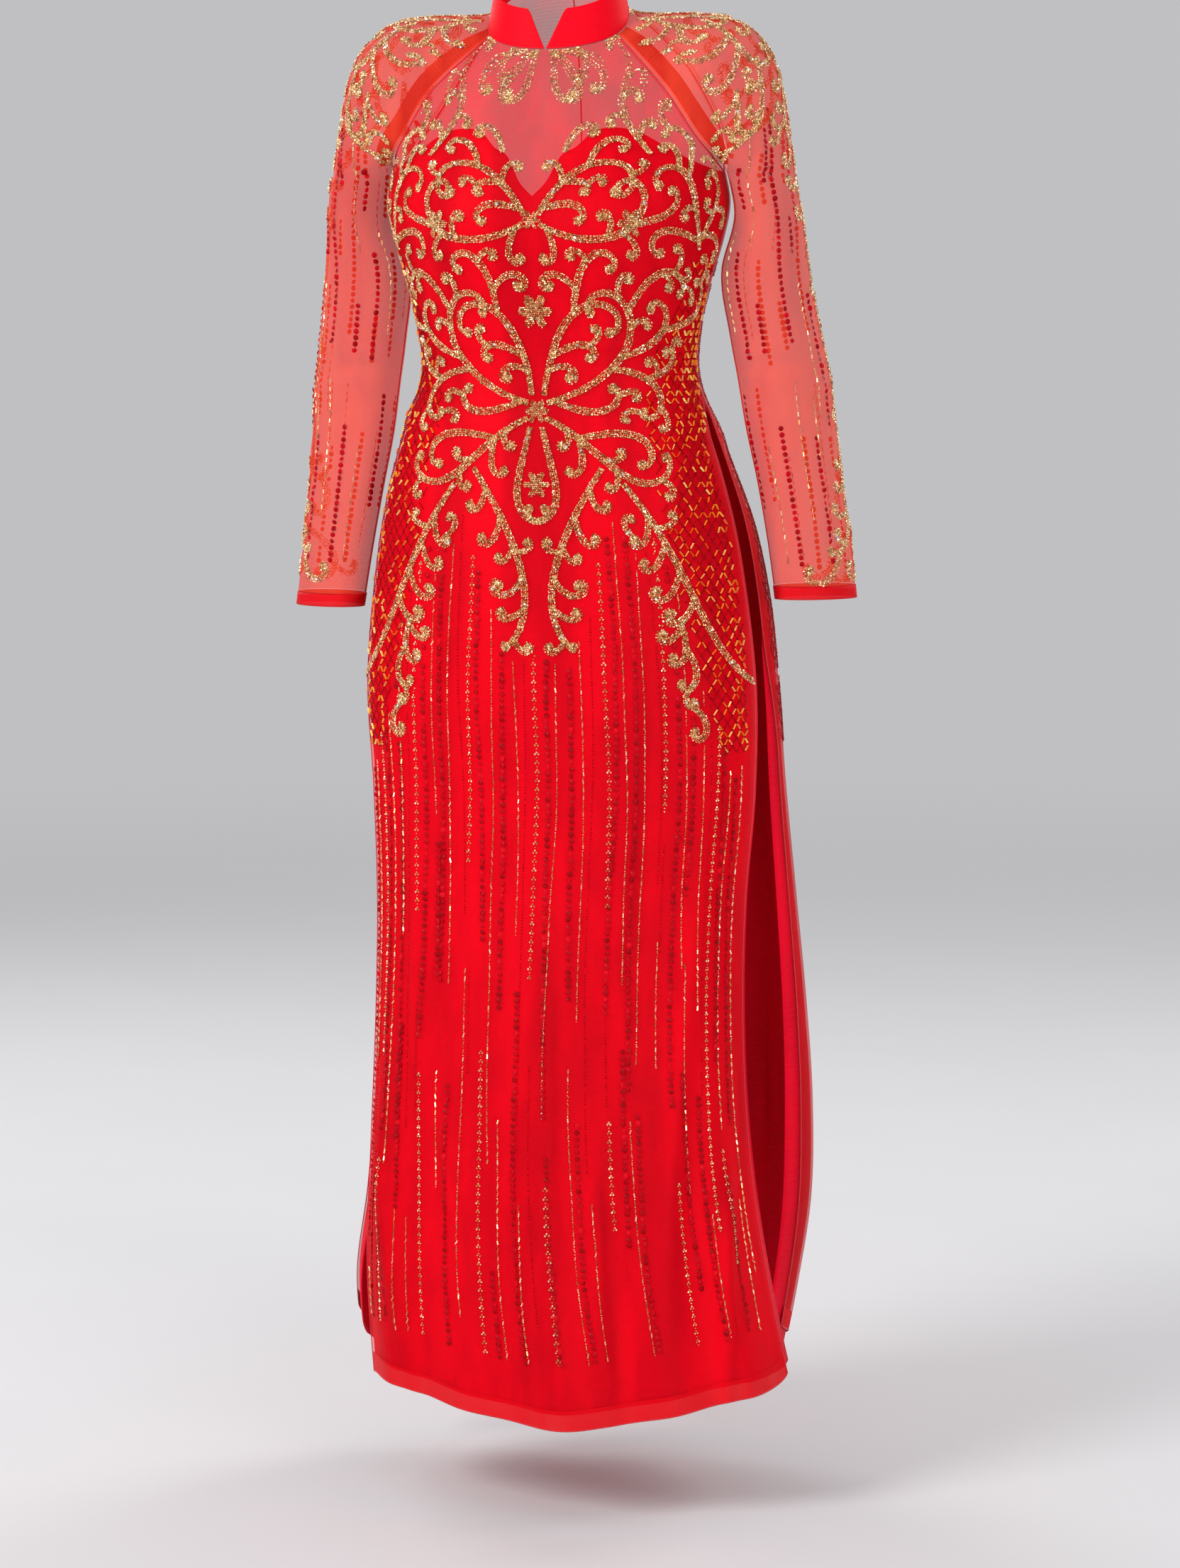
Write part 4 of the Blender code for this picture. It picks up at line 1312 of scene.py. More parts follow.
class Ground:
    """Flat map of a cloth that keeps strokes of beads apart, in square cells."""

    cell: float = 0.0015

    def __init__(self, shell: Shell, across: Point, course: Point,
                 inside: Callable[[Array, Array], Array]) -> None:
        """Lay out the map.

        Args:
            shell: the cloth.
            across: its lowest and highest flat place.
            course: its lowest and highest course.
            inside: mask of the places where scrolls grow.
        """
        self.low = (across[0], course[0])
        x, y = np.arange(*across, self.cell), np.arange(*course, self.cell)
        self.x, self.y = np.meshgrid(x, y, indexing="ij")
        _, column = shell.locate(self.x.ravel(), self.y.ravel())
        self.free = inside(self.x, self.y) & np.isfinite(column).reshape(self.x.shape)
        self.free[[0, -1]] = False
        self.free[:, [0, -1]] = False
        self.bare = np.ones_like(self.free)

    def cells(self, x: Array, y: Array) -> tuple[Array, Array]:
        """Cells of flat places, those outside the map taken to its rim."""
        places = zip((x, y), self.low, self.free.shape)
        return tuple(np.clip(np.rint((at - low) / self.cell).astype(int), 0, count - 1)
                     for at, low, count in places)

    def stamp(self, x: Array, y: Array, spacing: float, half_width: float) -> None:
        """Take up the ground beside a line of places."""
        i, j = self.cells(x, y)
        for grid, radius in ((self.free, spacing), (self.bare, half_width)):
            reach = int(radius / self.cell) + 1
            di, dj = np.mgrid[-reach:reach + 1, -reach:reach + 1]
            disc = np.hypot(di, dj) * self.cell <= radius
            grid[np.clip(i[:, None] + di[disc], 0, grid.shape[0] - 1),
                 np.clip(j[:, None] + dj[disc], 0, grid.shape[1] - 1)] = False

    def is_free(self, x: Array, y: Array) -> bool:
        """Whether a whole line of places may be taken."""
        return bool(self.free[self.cells(x, y)].all())

    def is_bare(self, x: Array, y: Array) -> Array:
        """Mask of the places that no stroke covers."""
        return self.bare[self.cells(x, y)]


class Scrollwork:
    """Gold scrolls that branch over a cloth from a few stems and are packed with beads."""

    pitch: float = 0.00185
    width: float = 0.0078
    rows: int = 4
    bead: Size = (0.0023, 0.0020, 0.0017)
    drop: Size = (0.0030, 0.0030, 0.0022)
    knob: float = 0.0049
    spacing: float = 0.0114
    step: float = 0.003
    gap: float = 0.018
    lengths: tuple[float, ...] = (0.098, 0.082, 0.068, 0.057, 0.047, 0.039, 0.032, 0.026)
    tries: int = 7

    def __init__(self, ground: Ground, stems: Sequence[Stroke], seed: int) -> None:
        """Lay the stems and grow the branches.

        Args:
            ground: the cloth's map.
            stems: the strokes that it starts from.
            seed: the random order's seed.
        """
        self.ground = ground
        self.luck = np.random.default_rng(seed)
        self.strokes: list[Stroke] = []
        for stem in stems:
            self.add(stem)
        self.grow()
        self.fill()

    def add(self, stroke: Stroke) -> None:
        """Take a stroke into the design."""
        x, y, _ = stroke.line(self.step)
        self.ground.stamp(x, y, self.spacing, self.width * 0.75)
        self.strokes.append(stroke)

    def fits(self, stroke: Stroke) -> bool:
        """Whether a stroke keeps clear of the others beyond its root."""
        x, y, _ = stroke.line(self.step)
        root = int(self.spacing * 1.60 / self.step)
        return root < len(x) - 2 and self.ground.is_free(x[root:], y[root:])

    def branch(self, x: float, y: float, heading: float, longest: float) -> Stroke | None:
        """Grow the longest branch that fits at a place, or none."""
        luck = self.luck
        for length in self.lengths:
            if length > longest:
                continue
            for _ in range(self.tries):
                hand = luck.choice((-1, 1))
                stroke = Stroke(x, y, heading + luck.uniform(-14, 14), length,
                                hand * luck.uniform(20, 110), hand * luck.uniform(140, 235))
                if self.fits(stroke):
                    self.add(stroke)
                    return stroke
        return None

    def grow(self) -> None:
        """Grow branches from both sides of every stroke until no more fit."""
        waiting = list(self.strokes)
        while waiting:
            parent = waiting.pop(0)
            x, y, heading = parent.line(self.step)
            every = int(self.gap / self.step)
            for number, spot in enumerate(range(every // 2, len(x) - 3, every)):
                for side in ((1, -1) if number % 2 else (-1, 1)):
                    turn = math.degrees(heading[spot]) + side * self.luck.uniform(30, 52)
                    child = self.branch(x[spot], y[spot], turn, max(parent.length, 0.058))
                    if child:
                        waiting.append(child)

    def fill(self) -> None:
        """Fill the gaps that are left with small strokes from the nearest ones."""
        known = np.concatenate([np.stack(stroke.line(self.step)[:2], axis=1)
                                for stroke in self.strokes])
        spots = np.argwhere(self.ground.free)
        self.luck.shuffle(spots)
        for i, j in spots[::4]:
            if not self.ground.free[i, j]:
                continue
            spot = np.array((self.ground.x[i, j], self.ground.y[i, j]))
            away = np.linalg.norm(known - spot, axis=1)
            root = known[np.argmin(away)]
            toward = math.degrees(math.atan2(*(spot - root)[::-1]))
            for hand in (1, -1):
                stroke = Stroke(*root, toward - hand * 34, away.min() * 1.35 + 0.008,
                                hand * 70, hand * 150)
                if self.fits(stroke):
                    self.add(stroke)
                    line = np.stack(stroke.line(self.step)[:2], axis=1)
                    known = np.concatenate((known, line))
                    break

    def sew(self, shell: Shell, gold: Beads, crystals: Beads, sign: int = 1) -> None:
        """Pack the strokes with beads on a cloth.

        Args:
            shell: the cloth.
            gold: the beads of the strokes.
            crystals: the few bright stones on them.
            sign: 1 for the design as it is and -1 for its mirror image.
        """
        luck = self.luck
        packed, stones = [], []
        steps = np.arange(-self.knob, self.knob + self.pitch, self.pitch)
        disc_x, disc_y = (grid.ravel() for grid in np.meshgrid(steps, steps * 0.9))
        disc_x = disc_x + np.rint(disc_y / (self.pitch * 0.9)) % 2 * self.pitch / 2
        for stroke in self.strokes:
            x, y, heading = stroke.line(self.pitch)
            t = np.linspace(0, 1, len(x))
            scale = float(np.clip(0.62 + stroke.length * 6.5, 0.75, 1.0))
            width = self.width * scale * (0.58 + 0.42 * np.sin(math.pi * (0.08 + 0.80 * t)))
            for row in range(self.rows):
                shift = ((row + 0.5) / self.rows - 0.5) * width
                shift = shift + luck.normal(0, 0.00022, len(x))
                ahead = luck.uniform(-0.35, 0.35, len(x)) * self.pitch
                packed.append(np.stack((x - np.sin(heading) * shift + np.cos(heading) * ahead,
                                        y + np.cos(heading) * shift + np.sin(heading) * ahead,
                                        heading), axis=1))
            inner = heading[-1] + math.copysign(math.pi / 2, stroke.curl)
            radius = self.knob * scale
            kept = np.hypot(disc_x, disc_y) < radius
            packed.append(np.stack((
                x[-1] + math.cos(inner) * radius * 0.35 + disc_x[kept],
                y[-1] + math.sin(inner) * radius * 0.35 + disc_y[kept],
                luck.uniform(0, math.pi, int(kept.sum()))), axis=1))
            bright = np.flatnonzero(luck.random(len(x)) < 0.030)
            stones.append(np.stack((x, y, heading), axis=1)[bright])
        for beads, places, size, shape in ((gold, packed, self.bead, Shape.ROUND),
                                           (crystals, stones, self.drop, Shape.FLOWER)):
            x, y, heading = np.concatenate(places).T
            beads.lay(shell, sign * x, y, sign * heading, size, shape, loose=0.22)

    def rosette(self, shell: Shell, gold: Beads, across: float, course: float,
                radius: float) -> None:
        """Pack a six-petalled flower with beads."""
        gap = self.pitch
        steps = np.arange(-radius, radius, gap)
        x, y = np.meshgrid(steps, steps)
        x = x + (np.arange(len(steps)) % 2)[:, None] * gap / 2
        angle, away = np.arctan2(y, x), np.hypot(x, y)
        edge = radius * (0.42 + 0.58 * np.abs(np.cos(3 * angle)) ** 0.7)
        kept = away < edge
        gold.lay(shell, across + x[kept], course + y[kept], angle[kept], self.bead, loose=0.2)


class LineKind(Enum):
    """Kind of a straight line of beads."""

    GOLD_BUGLES = 0
    GOLD_DROPS = 1
    RUBY_FLOWERS = 2
    RUBY_SEEDS = 3


LINE_ORDER = (LineKind.RUBY_FLOWERS, LineKind.GOLD_BUGLES, LineKind.RUBY_FLOWERS,
              LineKind.GOLD_DROPS, LineKind.RUBY_SEEDS, LineKind.GOLD_BUGLES)


@dataclass(frozen=True)
class BeadLines:
    """Long lines of beads that fall from the scrolls."""

    gold: Beads
    ruby: Beads

    def draw(self, shell: Shell, kind: LineKind, share: float, top: float, end: float,
             drift: float = 0.0, ground: Ground | None = None) -> None:
        """Lay one line down a cloth.

        Args:
            shell: the cloth.
            kind: the line's kind.
            share: its place as a share of the cloth's width.
            top: its first course.
            end: its last course.
            drift: how far its place moves along its length.
            ground: the map whose strokes it stays off.
        """
        way = (shell, share, top, end, drift, ground)
        if kind is LineKind.GOLD_BUGLES:
            self._row(self.gold, way, 0.0078, (0.0042, 0.0014, 0.0014), Shape.BUGLE, (0.2, 1.0))
            self._row(self.gold, way, 0.0078, (0.0015, 0.0015, 0.0013), Shape.ROUND, (0.1, 0.9),
                      0.0041)
        elif kind is LineKind.GOLD_DROPS:
            for ahead, aside in ((0.0, 0.0), (0.0020, 0.0013), (0.0020, -0.0013)):
                self._row(self.gold, way, 0.0086, (0.0024, 0.0022, 0.0018), Shape.ROUND,
                          (0.2, 1.0), ahead, aside)
            self._row(self.gold, way, 0.0086, (0.0017, 0.0017, 0.0014), Shape.ROUND,
                      (0.1, 0.8), 0.0053)
        elif kind is LineKind.RUBY_FLOWERS:
            self._row(self.ruby, way, 0.0063, (0.0056, 0.0052, 0.0017), Shape.FLOWER, (0.0, 0.8))
        else:
            self._row(self.ruby, way, 0.0030, (0.0021, 0.0016, 0.0014), Shape.ROUND, (0.0, 0.9))

    def _row(self, beads: Beads, way: tuple, pitch: float, size: Size, shape: Shape,
             tint: Point, start: float = 0.0, aside: float = 0.0) -> None:
        """Lay one row of equal beads down a cloth.

        Args:
            beads: the mesh that they go into.
            way: the cloth, the share, the two courses, the drift and the map of draw.
            pitch: distance between two beads.
            size: length, width and height of a bead.
            shape: its form.
            tint: range of the beads' colours.
            start: how far below the line's top the first one lies.
            aside: how far beside the line they lie.
        """
        shell, share, top, end, drift, ground = way
        course = np.arange(top - start, end, -pitch)
        if not len(course):
            return
        row = np.interp(-course, -shell.rows, np.arange(len(shell.rows)))
        part = (top - course) / max(top - end, 1e-6)
        place = (share + drift * part + 0.0006 * np.sin(course * 40 + share * 50)
                 + 0.0022 * np.sin(course * 11 + share * 170))
        if shell.hand < 0:
            place = 1 - place
        reach = shell.arc.shape[1] - 1
        column = place * reach
        spread = np.abs(shell.arc[:, -1] - shell.arc[:, 0])[np.rint(row).astype(int)]
        column = np.clip(column + aside / spread * reach, 0, reach)
        if ground is not None:
            across = shell.sample(shell.arc[..., None], row, column)[:, 0]
            bare = ground.is_bare(np.abs(across) if ground.low[0] >= 0 else across, course)
            row, column = row[bare], column[bare]
        beads.place(shell, row, column, np.full(len(row), math.pi / 2), size, shape, tint, 0.14)


@dataclass(frozen=True)
class Lattice:
    """Diamond lattice of bead lines at the sides of a panel."""

    ruby: Beads
    amber: Beads
    width: float = 0.0105
    height: float = 0.0145
    low: float = -0.56
    high: float = -0.08
    reach: float = 0.27
    seed: Size = (0.0025, 0.0018, 0.0014)
    bugle: Size = (0.0062, 0.0016, 0.0022)

    def draw(self, shell: Shell, inside: Callable[[Array, Array], Array], glow: float) -> None:
        """Lay the lattice where it is wanted.

        Args:
            shell: the cloth.
            inside: mask of flat places that the lattice covers.
            glow: share of its sides that carry a bright bugle.
        """
        columns = np.arange(-int(self.reach / self.width) - 1,
                            int(self.reach / self.width) + 2)
        rows = np.arange(int(self.low / self.height) - 1, int(self.high / self.height) + 2)
        x, y = (grid.ravel() for grid in np.meshgrid(columns, rows))
        luck = self.ruby.luck
        for lean in (-1, 1):
            for half in (0, 1):
                start_x = (x + half / 2) * self.width
                start_y = (y + half / 2) * self.height
                run_x, run_y = lean * self.width / 2, self.height / 2
                kept = inside(start_x + run_x / 2, start_y + run_y / 2)
                sx, sy = start_x[kept], start_y[kept]
                heading = math.atan2(run_y, run_x)
                for share in (0.12, 0.37, 0.63, 0.88):
                    self.ruby.lay(shell, sx + share * run_x, sy + share * run_y,
                                  np.full(len(sx), heading), self.seed, tint=(0.0, 0.7))
                line = sx / self.width - lean * sy / self.height
                patch = 0.5 + 0.5 * np.sin(line * 2.3 + lean) * np.sin(sy * 43 + line * 1.7)
                lit = luck.random(len(sx)) < glow * (0.25 + 1.5 * patch)
                self.amber.lay(shell, sx[lit] + run_x / 2, sy[lit] + run_y / 2,
                               np.full(int(lit.sum()), heading), self.bugle, Shape.BUGLE,
                               (0.0, 1.0), 0.05)


FRONT = Body(-1, FRONT_LEVELS, FRONT_FLUTES)
BACK = Body(1, BACK_LEVELS, BACK_FLUTES)
ROW_STEP = 0.0075
FRONT_LINING_START = -0.045
BACK_LINING_START = -0.072
LINING_TOP_ROWS = 9


def courses_between(top: float, end: float, step: float = ROW_STEP) -> Array:
    """Falling courses from top to end in even steps."""
    return np.linspace(top, end, max(int((top - end) / step), 1) + 1)


@dataclass
class Trim:
    """Seams and rolled edges of a cloth."""

    slot: str
    radius: float = 0.0006

    def line(self, name: str, shell: Shell, rows: slice | int, columns: slice | int,
             radius: float | None = None, flat: float = 0.8) -> bpy.types.Object:
        """Cord along a row or a column of a cloth's grid."""
        centres = shell.points[rows, columns]
        normals = shell.normals[rows, columns]
        made = tube(name, centres, normals, radius or self.radius, flat)
        made.data.materials.append(SEAM_THREAD.material())
        return settle(made, self.slot)


class Panel:
    """What the front and the back share: a net over its crepe lining."""

    def hang(self, side: str, edges: tuple[str, str]) -> Trim:
        """Finish the net and the lining, put them on the body and trim the net's sides.

        Args:
            side: front or back.
            edges: the sides of the wearer where the first and the last column lie.

        Returns:
            The trim of the net.
        """
        self.net_piece.data.materials.append(HEMMED_NET.material())
        self.lining_piece.data.materials.append(CRIMSON_CREPE.material())
        settle(self.net_piece, f"{side}_net", f"{side}_net")
        settle(self.lining_piece, f"{side}_lining", f"{side}_lining")
        trim = Trim(f"{side}_net")
        below = int(np.argmax(self.net.rows < SLIT_TOP_Z - ARMPIT_Z))
        for edge, column in zip(edges, (0, -1)):
            trim.line(f"{side}_seam_{edge}", self.net, slice(0, below), column, 0.0009)
            trim.line(f"{side}_edge_{edge}", self.net, slice(below, None), column)
        return trim


@dataclass
class FrontPanel(Panel):
    """Front of the tunic: the net from the collar to the hem over its crepe lining."""

    columns: int = 56
    flat: Point = (0.47, 1.36)

    def build(self) -> None:
        """Build the net and the lining."""
        self.net = panel(FRONT, courses_between(NECK_COURSE, FRONT_NET_HEM.z - ARMPIT_Z),
                         front_net_edge, FRONT_NET_HEM, self.columns, FRONT_CREASES)
        self.lining = panel(FRONT, courses_between(FRONT_LINING_START,
                                                   FRONT_LINING_HEM.z - ARMPIT_Z),
                            sewn_edge, FRONT_LINING_HEM, self.columns, FRONT_CREASES,
                            sweetheart_top(FRONT), LINING_TOP_ROWS, 1.25).move(-LINING_DROP)
        self.net_piece = self.net.piece("front_net_cloth")
        self.lining_piece = self.lining.piece("front_lining_cloth", LINING_WALL)

    def dress(self) -> None:
        """Finish the pieces and put them on the body."""
        trim = self.hang("front", ("right", "left"))
        trim.line("front_hem_edge", self.net, -1, slice(None))
        waist = int(np.argmax(self.lining.rows < WAIST_SEAM_COURSE))
        quarter = self.columns // 2
        trim.line("front_waist_seam", self.lining, waist, slice(quarter, -quarter), 0.0005, 0.5)


@dataclass
class BackPanel(Panel):
    """Back of the tunic: the net from the collar to the hem over its crepe lining."""

    columns: int = 52

    def build(self) -> None:
        """Build the net and the lining."""
        self.net = panel(BACK, courses_between(NECK_COURSE, BACK_NET_HEM.z - ARMPIT_Z),
                         back_net_edge, BACK_NET_HEM, self.columns, BACK_CREASES)

        def top(u: Array) -> Array:
            """Course of the scooped top edge."""
            return -BACK_LINING_SCOOP * np.cos(u * math.pi / 2) ** 2

        self.lining = panel(BACK, courses_between(BACK_LINING_START,
                                                  BACK_LINING_HEM.z - ARMPIT_Z),
                            back_lining_edge, BACK_LINING_HEM, self.columns, BACK_CREASES,
                            top, LINING_TOP_ROWS).move(-LINING_DROP)
        self.net_piece = self.net.piece("back_net_cloth")
        self.lining_piece = self.lining.piece("back_lining_cloth", LINING_WALL)

    def dress(self) -> None:
        """Finish the pieces and put them on the body."""
        trim = self.hang("back", ("left", "right"))
        trim.line("back_middle_seam", self.net, slice(None), self.columns, 0.0007, 0.6)
        trim.line("back_hem_edge", self.net, -1, slice(None))


@dataclass
class Collar:
    """Stand collar, its ends parting in a narrow V."""

    rows: int = 14
    columns: int = 120

    def build(self) -> None:
        """Build the band, thickened and with softened edges."""
        height = np.linspace(1, 0, self.rows)
        notch = np.interp(height, *COLLAR_NOTCH)
        share = np.linspace(0, 1, self.columns + 1)
        tall, part = np.meshgrid(height, share, indexing="ij")
        turn = notch[:, None] + (2 * math.pi - 2 * notch[:, None]) * part
        points = NeckBand().points(tall, turn)
        self.shell = Shell(points, tall * COLLAR_HEIGHT_FRONT, turn, math.pi)
        self.piece = self.shell.piece("collar_band", BAND_WALL)
        bevel = self.piece.modifiers.new("soft edges", "BEVEL")
        bevel.width = 0.0004
        bevel.segments = 2

    def dress(self) -> None:
        """Finish the band and put it on the body."""
        self.piece.data.materials.append(COLLAR_CREPE.material())
        settle(self.piece, "collar", "collar")
        Trim("collar").line("collar_neck_seam", self.shell, -1, slice(None), 0.0009)


@dataclass
class Sleeve:
    """One raglan sleeve with its cuff band and raglan strip."""

    arm: Arm
    columns: int = 64

    def grid(self, courses: Array) -> Shell:
        """Shell of the sleeve at some of its courses."""
        places = np.linspace(0.0, 1.0, self.columns + 1)
        if self.arm.side is Side.RIGHT:
            places = places[::-1]
        course, w = np.meshgrid(courses, places, indexing="ij")
        return Shell(self.arm.points(course, w), course, w, 0.5, SLEEVE_CREASES)

    def strip_shell(self) -> Shell:
        """Shell of the raglan strip, an even width beside the front seam."""
        courses = courses_between(*STRIP_COURSES)
        fine = np.linspace(0.0, 0.5, 200)
        course, w = np.meshgrid(courses, fine, indexing="ij")
        run = lengths_along(self.arm.points(course, w))
        reaches = np.linspace(*STRIP_REACHES, 7)
        places = np.array([np.interp(reaches, row, fine) for row in run])
        if self.arm.side is Side.RIGHT:
            places = places[:, ::-1]
        course = courses[:, None] * np.ones_like(places)
        shell = Shell(self.arm.points(course, places), course, places, float(places.mean()))
        return shell.move(fold_height(SLEEVE_CREASES, 0 * course - 0.11, course) - STRIP_DROP)

    def build(self) -> None:
        """Build the sleeve, the cuff band and the strip."""
        self.name = self.arm.side.name.lower()
        top_z = ARM_LEVELS[0].z
        caps = courses_between(NECK_COURSE, 0.0)
        rings = courses_between(0.0, SLEEVE_END_Z - top_z)
        self.net = self.grid(np.concatenate((caps, rings[1:])))
        outer = self.net.points[:, self.columns // 2]
        run = np.cumsum(np.linalg.norm(np.diff(outer, axis=0, prepend=outer[:1]), axis=1))
        self.net.rows = run[len(caps) - 1] - run
        self.cuff = self.grid(courses_between(CUFF_TOP_Z - top_z, CUFF_END_Z - top_z, 0.003))
        self.strip = self.strip_shell()
        self.net_piece = self.net.piece(f"sleeve_{self.name}_cloth", 0.0, len(caps) - 1)
        self.cuff_piece = self.cuff.piece(f"cuff_{self.name}_band", BAND_WALL, 0)
        self.strip_piece = self.strip.piece(f"raglan_strip_{self.name}_cloth", NET_WALL)

    def dress(self) -> None:
        """Finish the pieces and put them on the body."""
        for piece, finish, node in ((self.net_piece, RED_NET, "sleeve"),
                                    (self.cuff_piece, CUFF_NET, "cuff"),
                                    (self.strip_piece, STRIP_NET, "raglan_strip")):
            piece.data.materials.append(finish.material())
            settle(piece, f"{node}_{self.name}", f"{node}_{self.name}")
        trim = Trim(f"sleeve_{self.name}")
        start = int(np.argmax(self.net.rows < 0))
        trim.line(f"sleeve_{self.name}_seam", self.net, slice(start, None), 0, 0.0007)


@dataclass
class Beadwork:
    """All the beads sewn on the net."""

    front: FrontPanel
    back: BackPanel
    sleeves: tuple[Sleeve, ...]
    lines_across: int = 44
    back_lines: int = 20

    @staticmethod
    def front_field(across: Array, course: Array) -> Array:
        """Where scrolls grow on the front's left half."""
        top = np.interp(across, *SCROLL_TOP)
        centre = across < np.interp(-course, *CENTRE_TAIL)
        tail = across > np.interp(-course, *SIDE_TAIL)
        fan = (course > FAN_COURSES[0]) & (course < FAN_COURSES[1]) & (across < FAN_REACH)
        body = (course < top) & ((course > BODICE_END) | centre | tail) & (course > TAIL_END)
        outer = np.interp(-course, *SCROLL_OUTER)
        return (across > MIDDLE_GAP) & (across < outer) & (body | fan)

    @staticmethod
    def sleeve_field(across: Array, course: Array) -> Array:
        """Where scrolls grow on a sleeve: over the shoulder and at the wrist."""
        away = np.abs(across)
        shoulder = away < np.interp(-course, *SHOULDER_REACH)
        wrist = away < np.interp(-course, *WRIST_REACH)
        return ((shoulder & (course > np.interp(away, *SHOULDER_FOOT)))
                | (wrist & (course < WRIST_TOP)))

    def build(self) -> None:
        """Lay the beads and put them on the body."""
        crystals = Beads("crystals", CRYSTAL)
        net = self.front.net
        self.ground = Ground(net, (0.0, 0.25), (-0.57, 0.125), self.front_field)
        for across, course, radius in ROSETTES:
            self.ground.stamp(np.array([across]), np.array([course]), radius + 0.007, radius)
        scrolls = Scrollwork(self.ground, FRONT_STEMS + NECK_FAN, SEED)
        for side in Side:
            gold = Beads(f"scroll_beads_{side.name.lower()}", GOLD_BEAD)
            scrolls.sew(net, gold, crystals, side.value)
            for across, course, radius in ROSETTES:
                if across or side is Side.LEFT:
                    scrolls.rosette(net, gold, side.value * across, course, radius)
            settle(gold.piece(), "front_net")
        self.arm_ground = Ground(self.sleeves[0].net, (-0.14, 0.14), (-0.415, 0.275),
                                 self.sleeve_field)
        scrolls = Scrollwork(self.arm_ground, SLEEVE_STEMS, SEED + 2)
        for sleeve in self.sleeves:
            gold = Beads(f"sleeve_scroll_beads_{sleeve.name}", GOLD_BEAD)
            scrolls.sew(sleeve.net, gold, crystals)
            settle(gold.piece(), f"sleeve_{sleeve.name}")
        self.lay_lines()
        self.lay_lattice()
        settle(crystals.piece(), "front_net")

    def lay_lines(self) -> None:
        """Lay the falling lines of the skirt, the back and the sleeves."""
        gold = Beads("line_gold_beads", GOLD_BEAD)
        ruby = Beads("line_ruby_beads", RUBY_BEAD)
        lines = BeadLines(gold, ruby)
        luck = np.random.default_rng(SEED + 1)
        kinds = LINE_ORDER
        hem = FRONT_NET_HEM.z - ARMPIT_Z
        net = self.front.net
        for number in range(self.lines_across):
            share = 0.06 + 0.88 * (number + 0.5) / self.lines_across + luck.uniform(-0.004, 0.004)
            across = abs(share - 0.5) * 0.46
            top = float(np.interp(across, *LINE_TOPS)) - luck.uniform(0.0, 0.03)
            kind = kinds[number * 5 % len(kinds)]
            end = top - luck.uniform(0.26, 0.56)
            drift = (share - 0.5) * 0.02 + 0.008 * math.sin(number * 2.4)
            lines.draw(net, kind, share, top, end, drift, self.ground)
            again = end - luck.uniform(0.03, 0.12)
            lines.draw(net, kinds[(number * 5 + 1) % len(kinds)], share + drift + 0.004, again,
                       max(again - luck.uniform(0.10, 0.42), hem + 0.06))
        for number in range(self.back_lines):
            share = 0.20 + 0.60 * (number + 0.5) / self.back_lines
            top = -0.30 - 0.10 * abs(share - 0.5) - luck.uniform(0.0, 0.12)
            lines.draw(self.back.net, kinds[number * 5 % len(kinds)], share, top,
                       top - luck.uniform(0.30, 0.62))
        for sleeve in self.sleeves:
            for side in (1, -1):
                for line in ARM_LINES:
                    place = 0.5 + side * (0.5 - line.place - (0.02 if side > 0 else 0.0))
                    slip = luck.uniform(-0.015, 0.015) if side > 0 else 0.0
                    lines.draw(sleeve.net,
                               LineKind.RUBY_FLOWERS if line.ruby else LineKind.GOLD_BUGLES,
                               place, line.top + slip, line.end + slip, 0.004 * side,
                               self.arm_ground)
        settle(gold.piece(), "front_net")
        settle(ruby.piece(), "front_net")

    def lay_lattice(self) -> None:
        """Lay the diamond lattice at the sides of the front and the back."""
        ruby = Beads("lattice_ruby_beads", GARNET_BEAD)
        amber = Beads("lattice_amber_bugles", AMBER_BUGLE)
        lattice = Lattice(ruby, amber)

        def beside(shell: Shell, across: Array, course: Array) -> Array:
            """Mask of the places beside the scrolls, short of the cloth's edge."""
            away = np.abs(across)
            low, high = LATTICE_COURSES
            edge = np.interp(-course, -shell.rows, np.abs(shell.arc[:, -1]))
            edge -= np.interp(-course, *LATTICE_MARGIN)
            return ((away > np.interp(-course, *LATTICE_INNER)) & (away < edge)
                    & (course < high) & (course > low) & self.ground.is_bare(away, course))

        front, back = self.front.net, self.back.net
        lattice.draw(front, lambda x, y: beside(front, x, y) & (x > 0), 0.54)
        lattice.draw(front, lambda x, y: beside(front, x, y) & (x < 0), 0.34)
        lattice.draw(back, lambda x, y: beside(back, x, y) & (np.abs(x) > LATTICE_BACK), 0.0)
        settle(ruby.piece(), "front_net")
        settle(amber.piece(), "front_net")


class Lamp(NamedTuple):
    """Soft round light: its name, place, size in metres and power in watts."""

    name: str
    spot: tuple[float, float, float]
    size: float
    power: float


LAMPS = (
    Lamp("key", (-2.3, -3.0, 1.6), 1.8, 130.0),
    Lamp("fill", (2.3, -3.2, -0.1), 2.2, 58.0),
    Lamp("back_left", (2.2, 3.0, 1.4), 2.0, 60.0),
    Lamp("back_right", (-2.4, 2.4, 1.0), 2.0, 45.0),
)
LAMP_AIM = (0.0, 0.0, -0.6)
SKY_COLOUR = (0.80, 0.80, 0.82, 1.0)
SKY_STRENGTH = 0.66
FLOOR_COLOURS = ((0.60, 0.60, 0.61, 1.0), (0.64, 0.64, 0.65, 1.0))


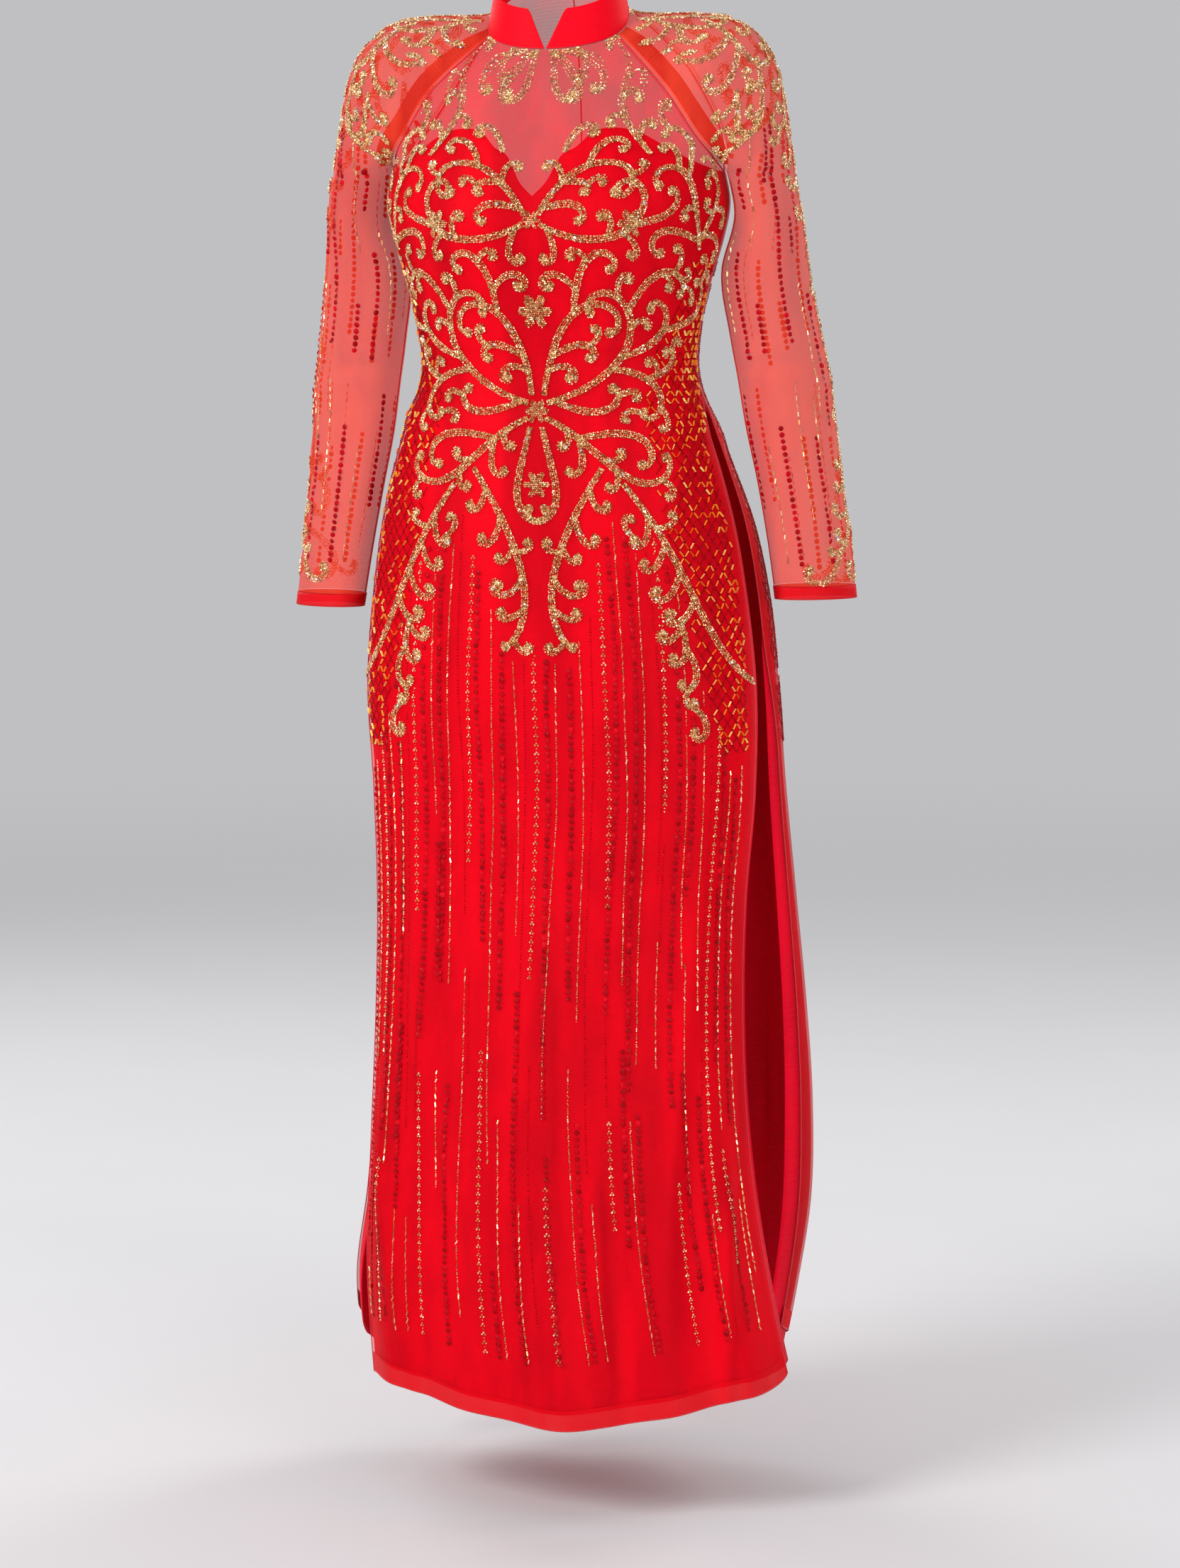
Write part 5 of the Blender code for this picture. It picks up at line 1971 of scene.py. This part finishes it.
@dataclass
class Studio:
    """Plain pale floor, soft light and the camera at the photograph's angle."""

    azimuth: float = 12.5
    distance: float = 4.5
    height: float = -0.25
    aim_z: float = -0.741
    aim_right: float = 0.0294
    frame_height: float = 1.5484
    floor_z: float = -1.44
    floor_size: float = 30.0
    floor_fade: Point = (1.2, 7.0)

    def build(self) -> None:
        """Build the camera, the lights and the floor."""
        self.camera()
        for lamp in LAMPS:
            self.light(lamp)
        world = bpy.data.worlds.new("studio")
        world.use_nodes = True
        back = world.node_tree.nodes["Background"]
        back.inputs["Color"].default_value = SKY_COLOUR
        back.inputs["Strength"].default_value = SKY_STRENGTH
        bpy.context.scene.world = world
        bpy.context.scene.view_settings.view_transform = "Standard"
        self.floor()

    def camera(self) -> None:
        """Put the camera where the photograph was taken from."""
        turn = math.radians(self.azimuth)
        spot = np.array((self.distance * math.sin(turn), -self.distance * math.cos(turn),
                         self.height))
        right = np.array((math.cos(turn), math.sin(turn), 0.0))
        target = np.array((0.0, 0.0, self.aim_z)) + right * self.aim_right
        data = bpy.data.cameras.new("camera")
        reach = np.linalg.norm(target - spot)
        data.lens = data.sensor_width * reach / self.frame_height
        made = linked("camera", data)
        made.location = spot
        made.rotation_euler = self.facing(target - spot)
        bpy.context.scene.camera = made

    def facing(self, ahead: Array) -> tuple[float, float, float]:
        """Rotation that turns an object's -Z along a direction, with its Y up."""
        level = math.hypot(ahead[0], ahead[1])
        return (math.atan2(level, -ahead[2]), 0.0, math.atan2(-ahead[0], ahead[1]))

    def light(self, lamp: Lamp) -> None:
        """Put a lamp in its place, facing the tunic's middle."""
        data = bpy.data.lights.new(lamp.name, "AREA")
        data.shape = "DISK"
        data.size = lamp.size
        data.energy = lamp.power
        made = linked(lamp.name, data)
        made.location = lamp.spot
        made.rotation_euler = self.facing(np.array(LAMP_AIM) - np.array(lamp.spot))

    def floor(self) -> None:
        """Lay the floor under the tunic."""
        half = self.floor_size / 2
        corners = [(-half, -half), (half, -half), (half, half), (-half, half)]
        data = bpy.data.meshes.new("floor")
        data.from_pydata([(x, y, self.floor_z) for x, y in corners], [], [(0, 1, 2, 3)])
        paint = Paint("pale_floor")
        grain = paint.noise(3.0, 4.0)
        colour = paint.mix(grain, *FLOOR_COLOURS)
        x, y = paint.axes(paint.node("ShaderNodeTexCoord").outputs["Object"])
        away = (x * x + y * y).math("SQRT")
        data.materials.append(paint.finish(Base_Color=colour, Roughness=0.8,
                                           Alpha=1 - paint.step(away, *self.floor_fade)))
        made = linked("floor", data)


def main() -> None:
    """Build the tunic's pieces in order, then the studio, and note the sizes."""
    logging.basicConfig(level=logging.INFO, format="%(name)s %(message)s")
    front = FrontPanel()
    back = BackPanel()
    collar = Collar()
    sleeves = (Sleeve(Arm(Side.LEFT, 0.007, 0.0135)), Sleeve(Arm(Side.RIGHT, -0.006, 0.0)))
    for part in (front, back, collar, *sleeves):
        part.build()
        part.dress()
    Beadwork(front, back, sleeves).build()
    Studio().build()


if __name__ == "__main__":
    main()
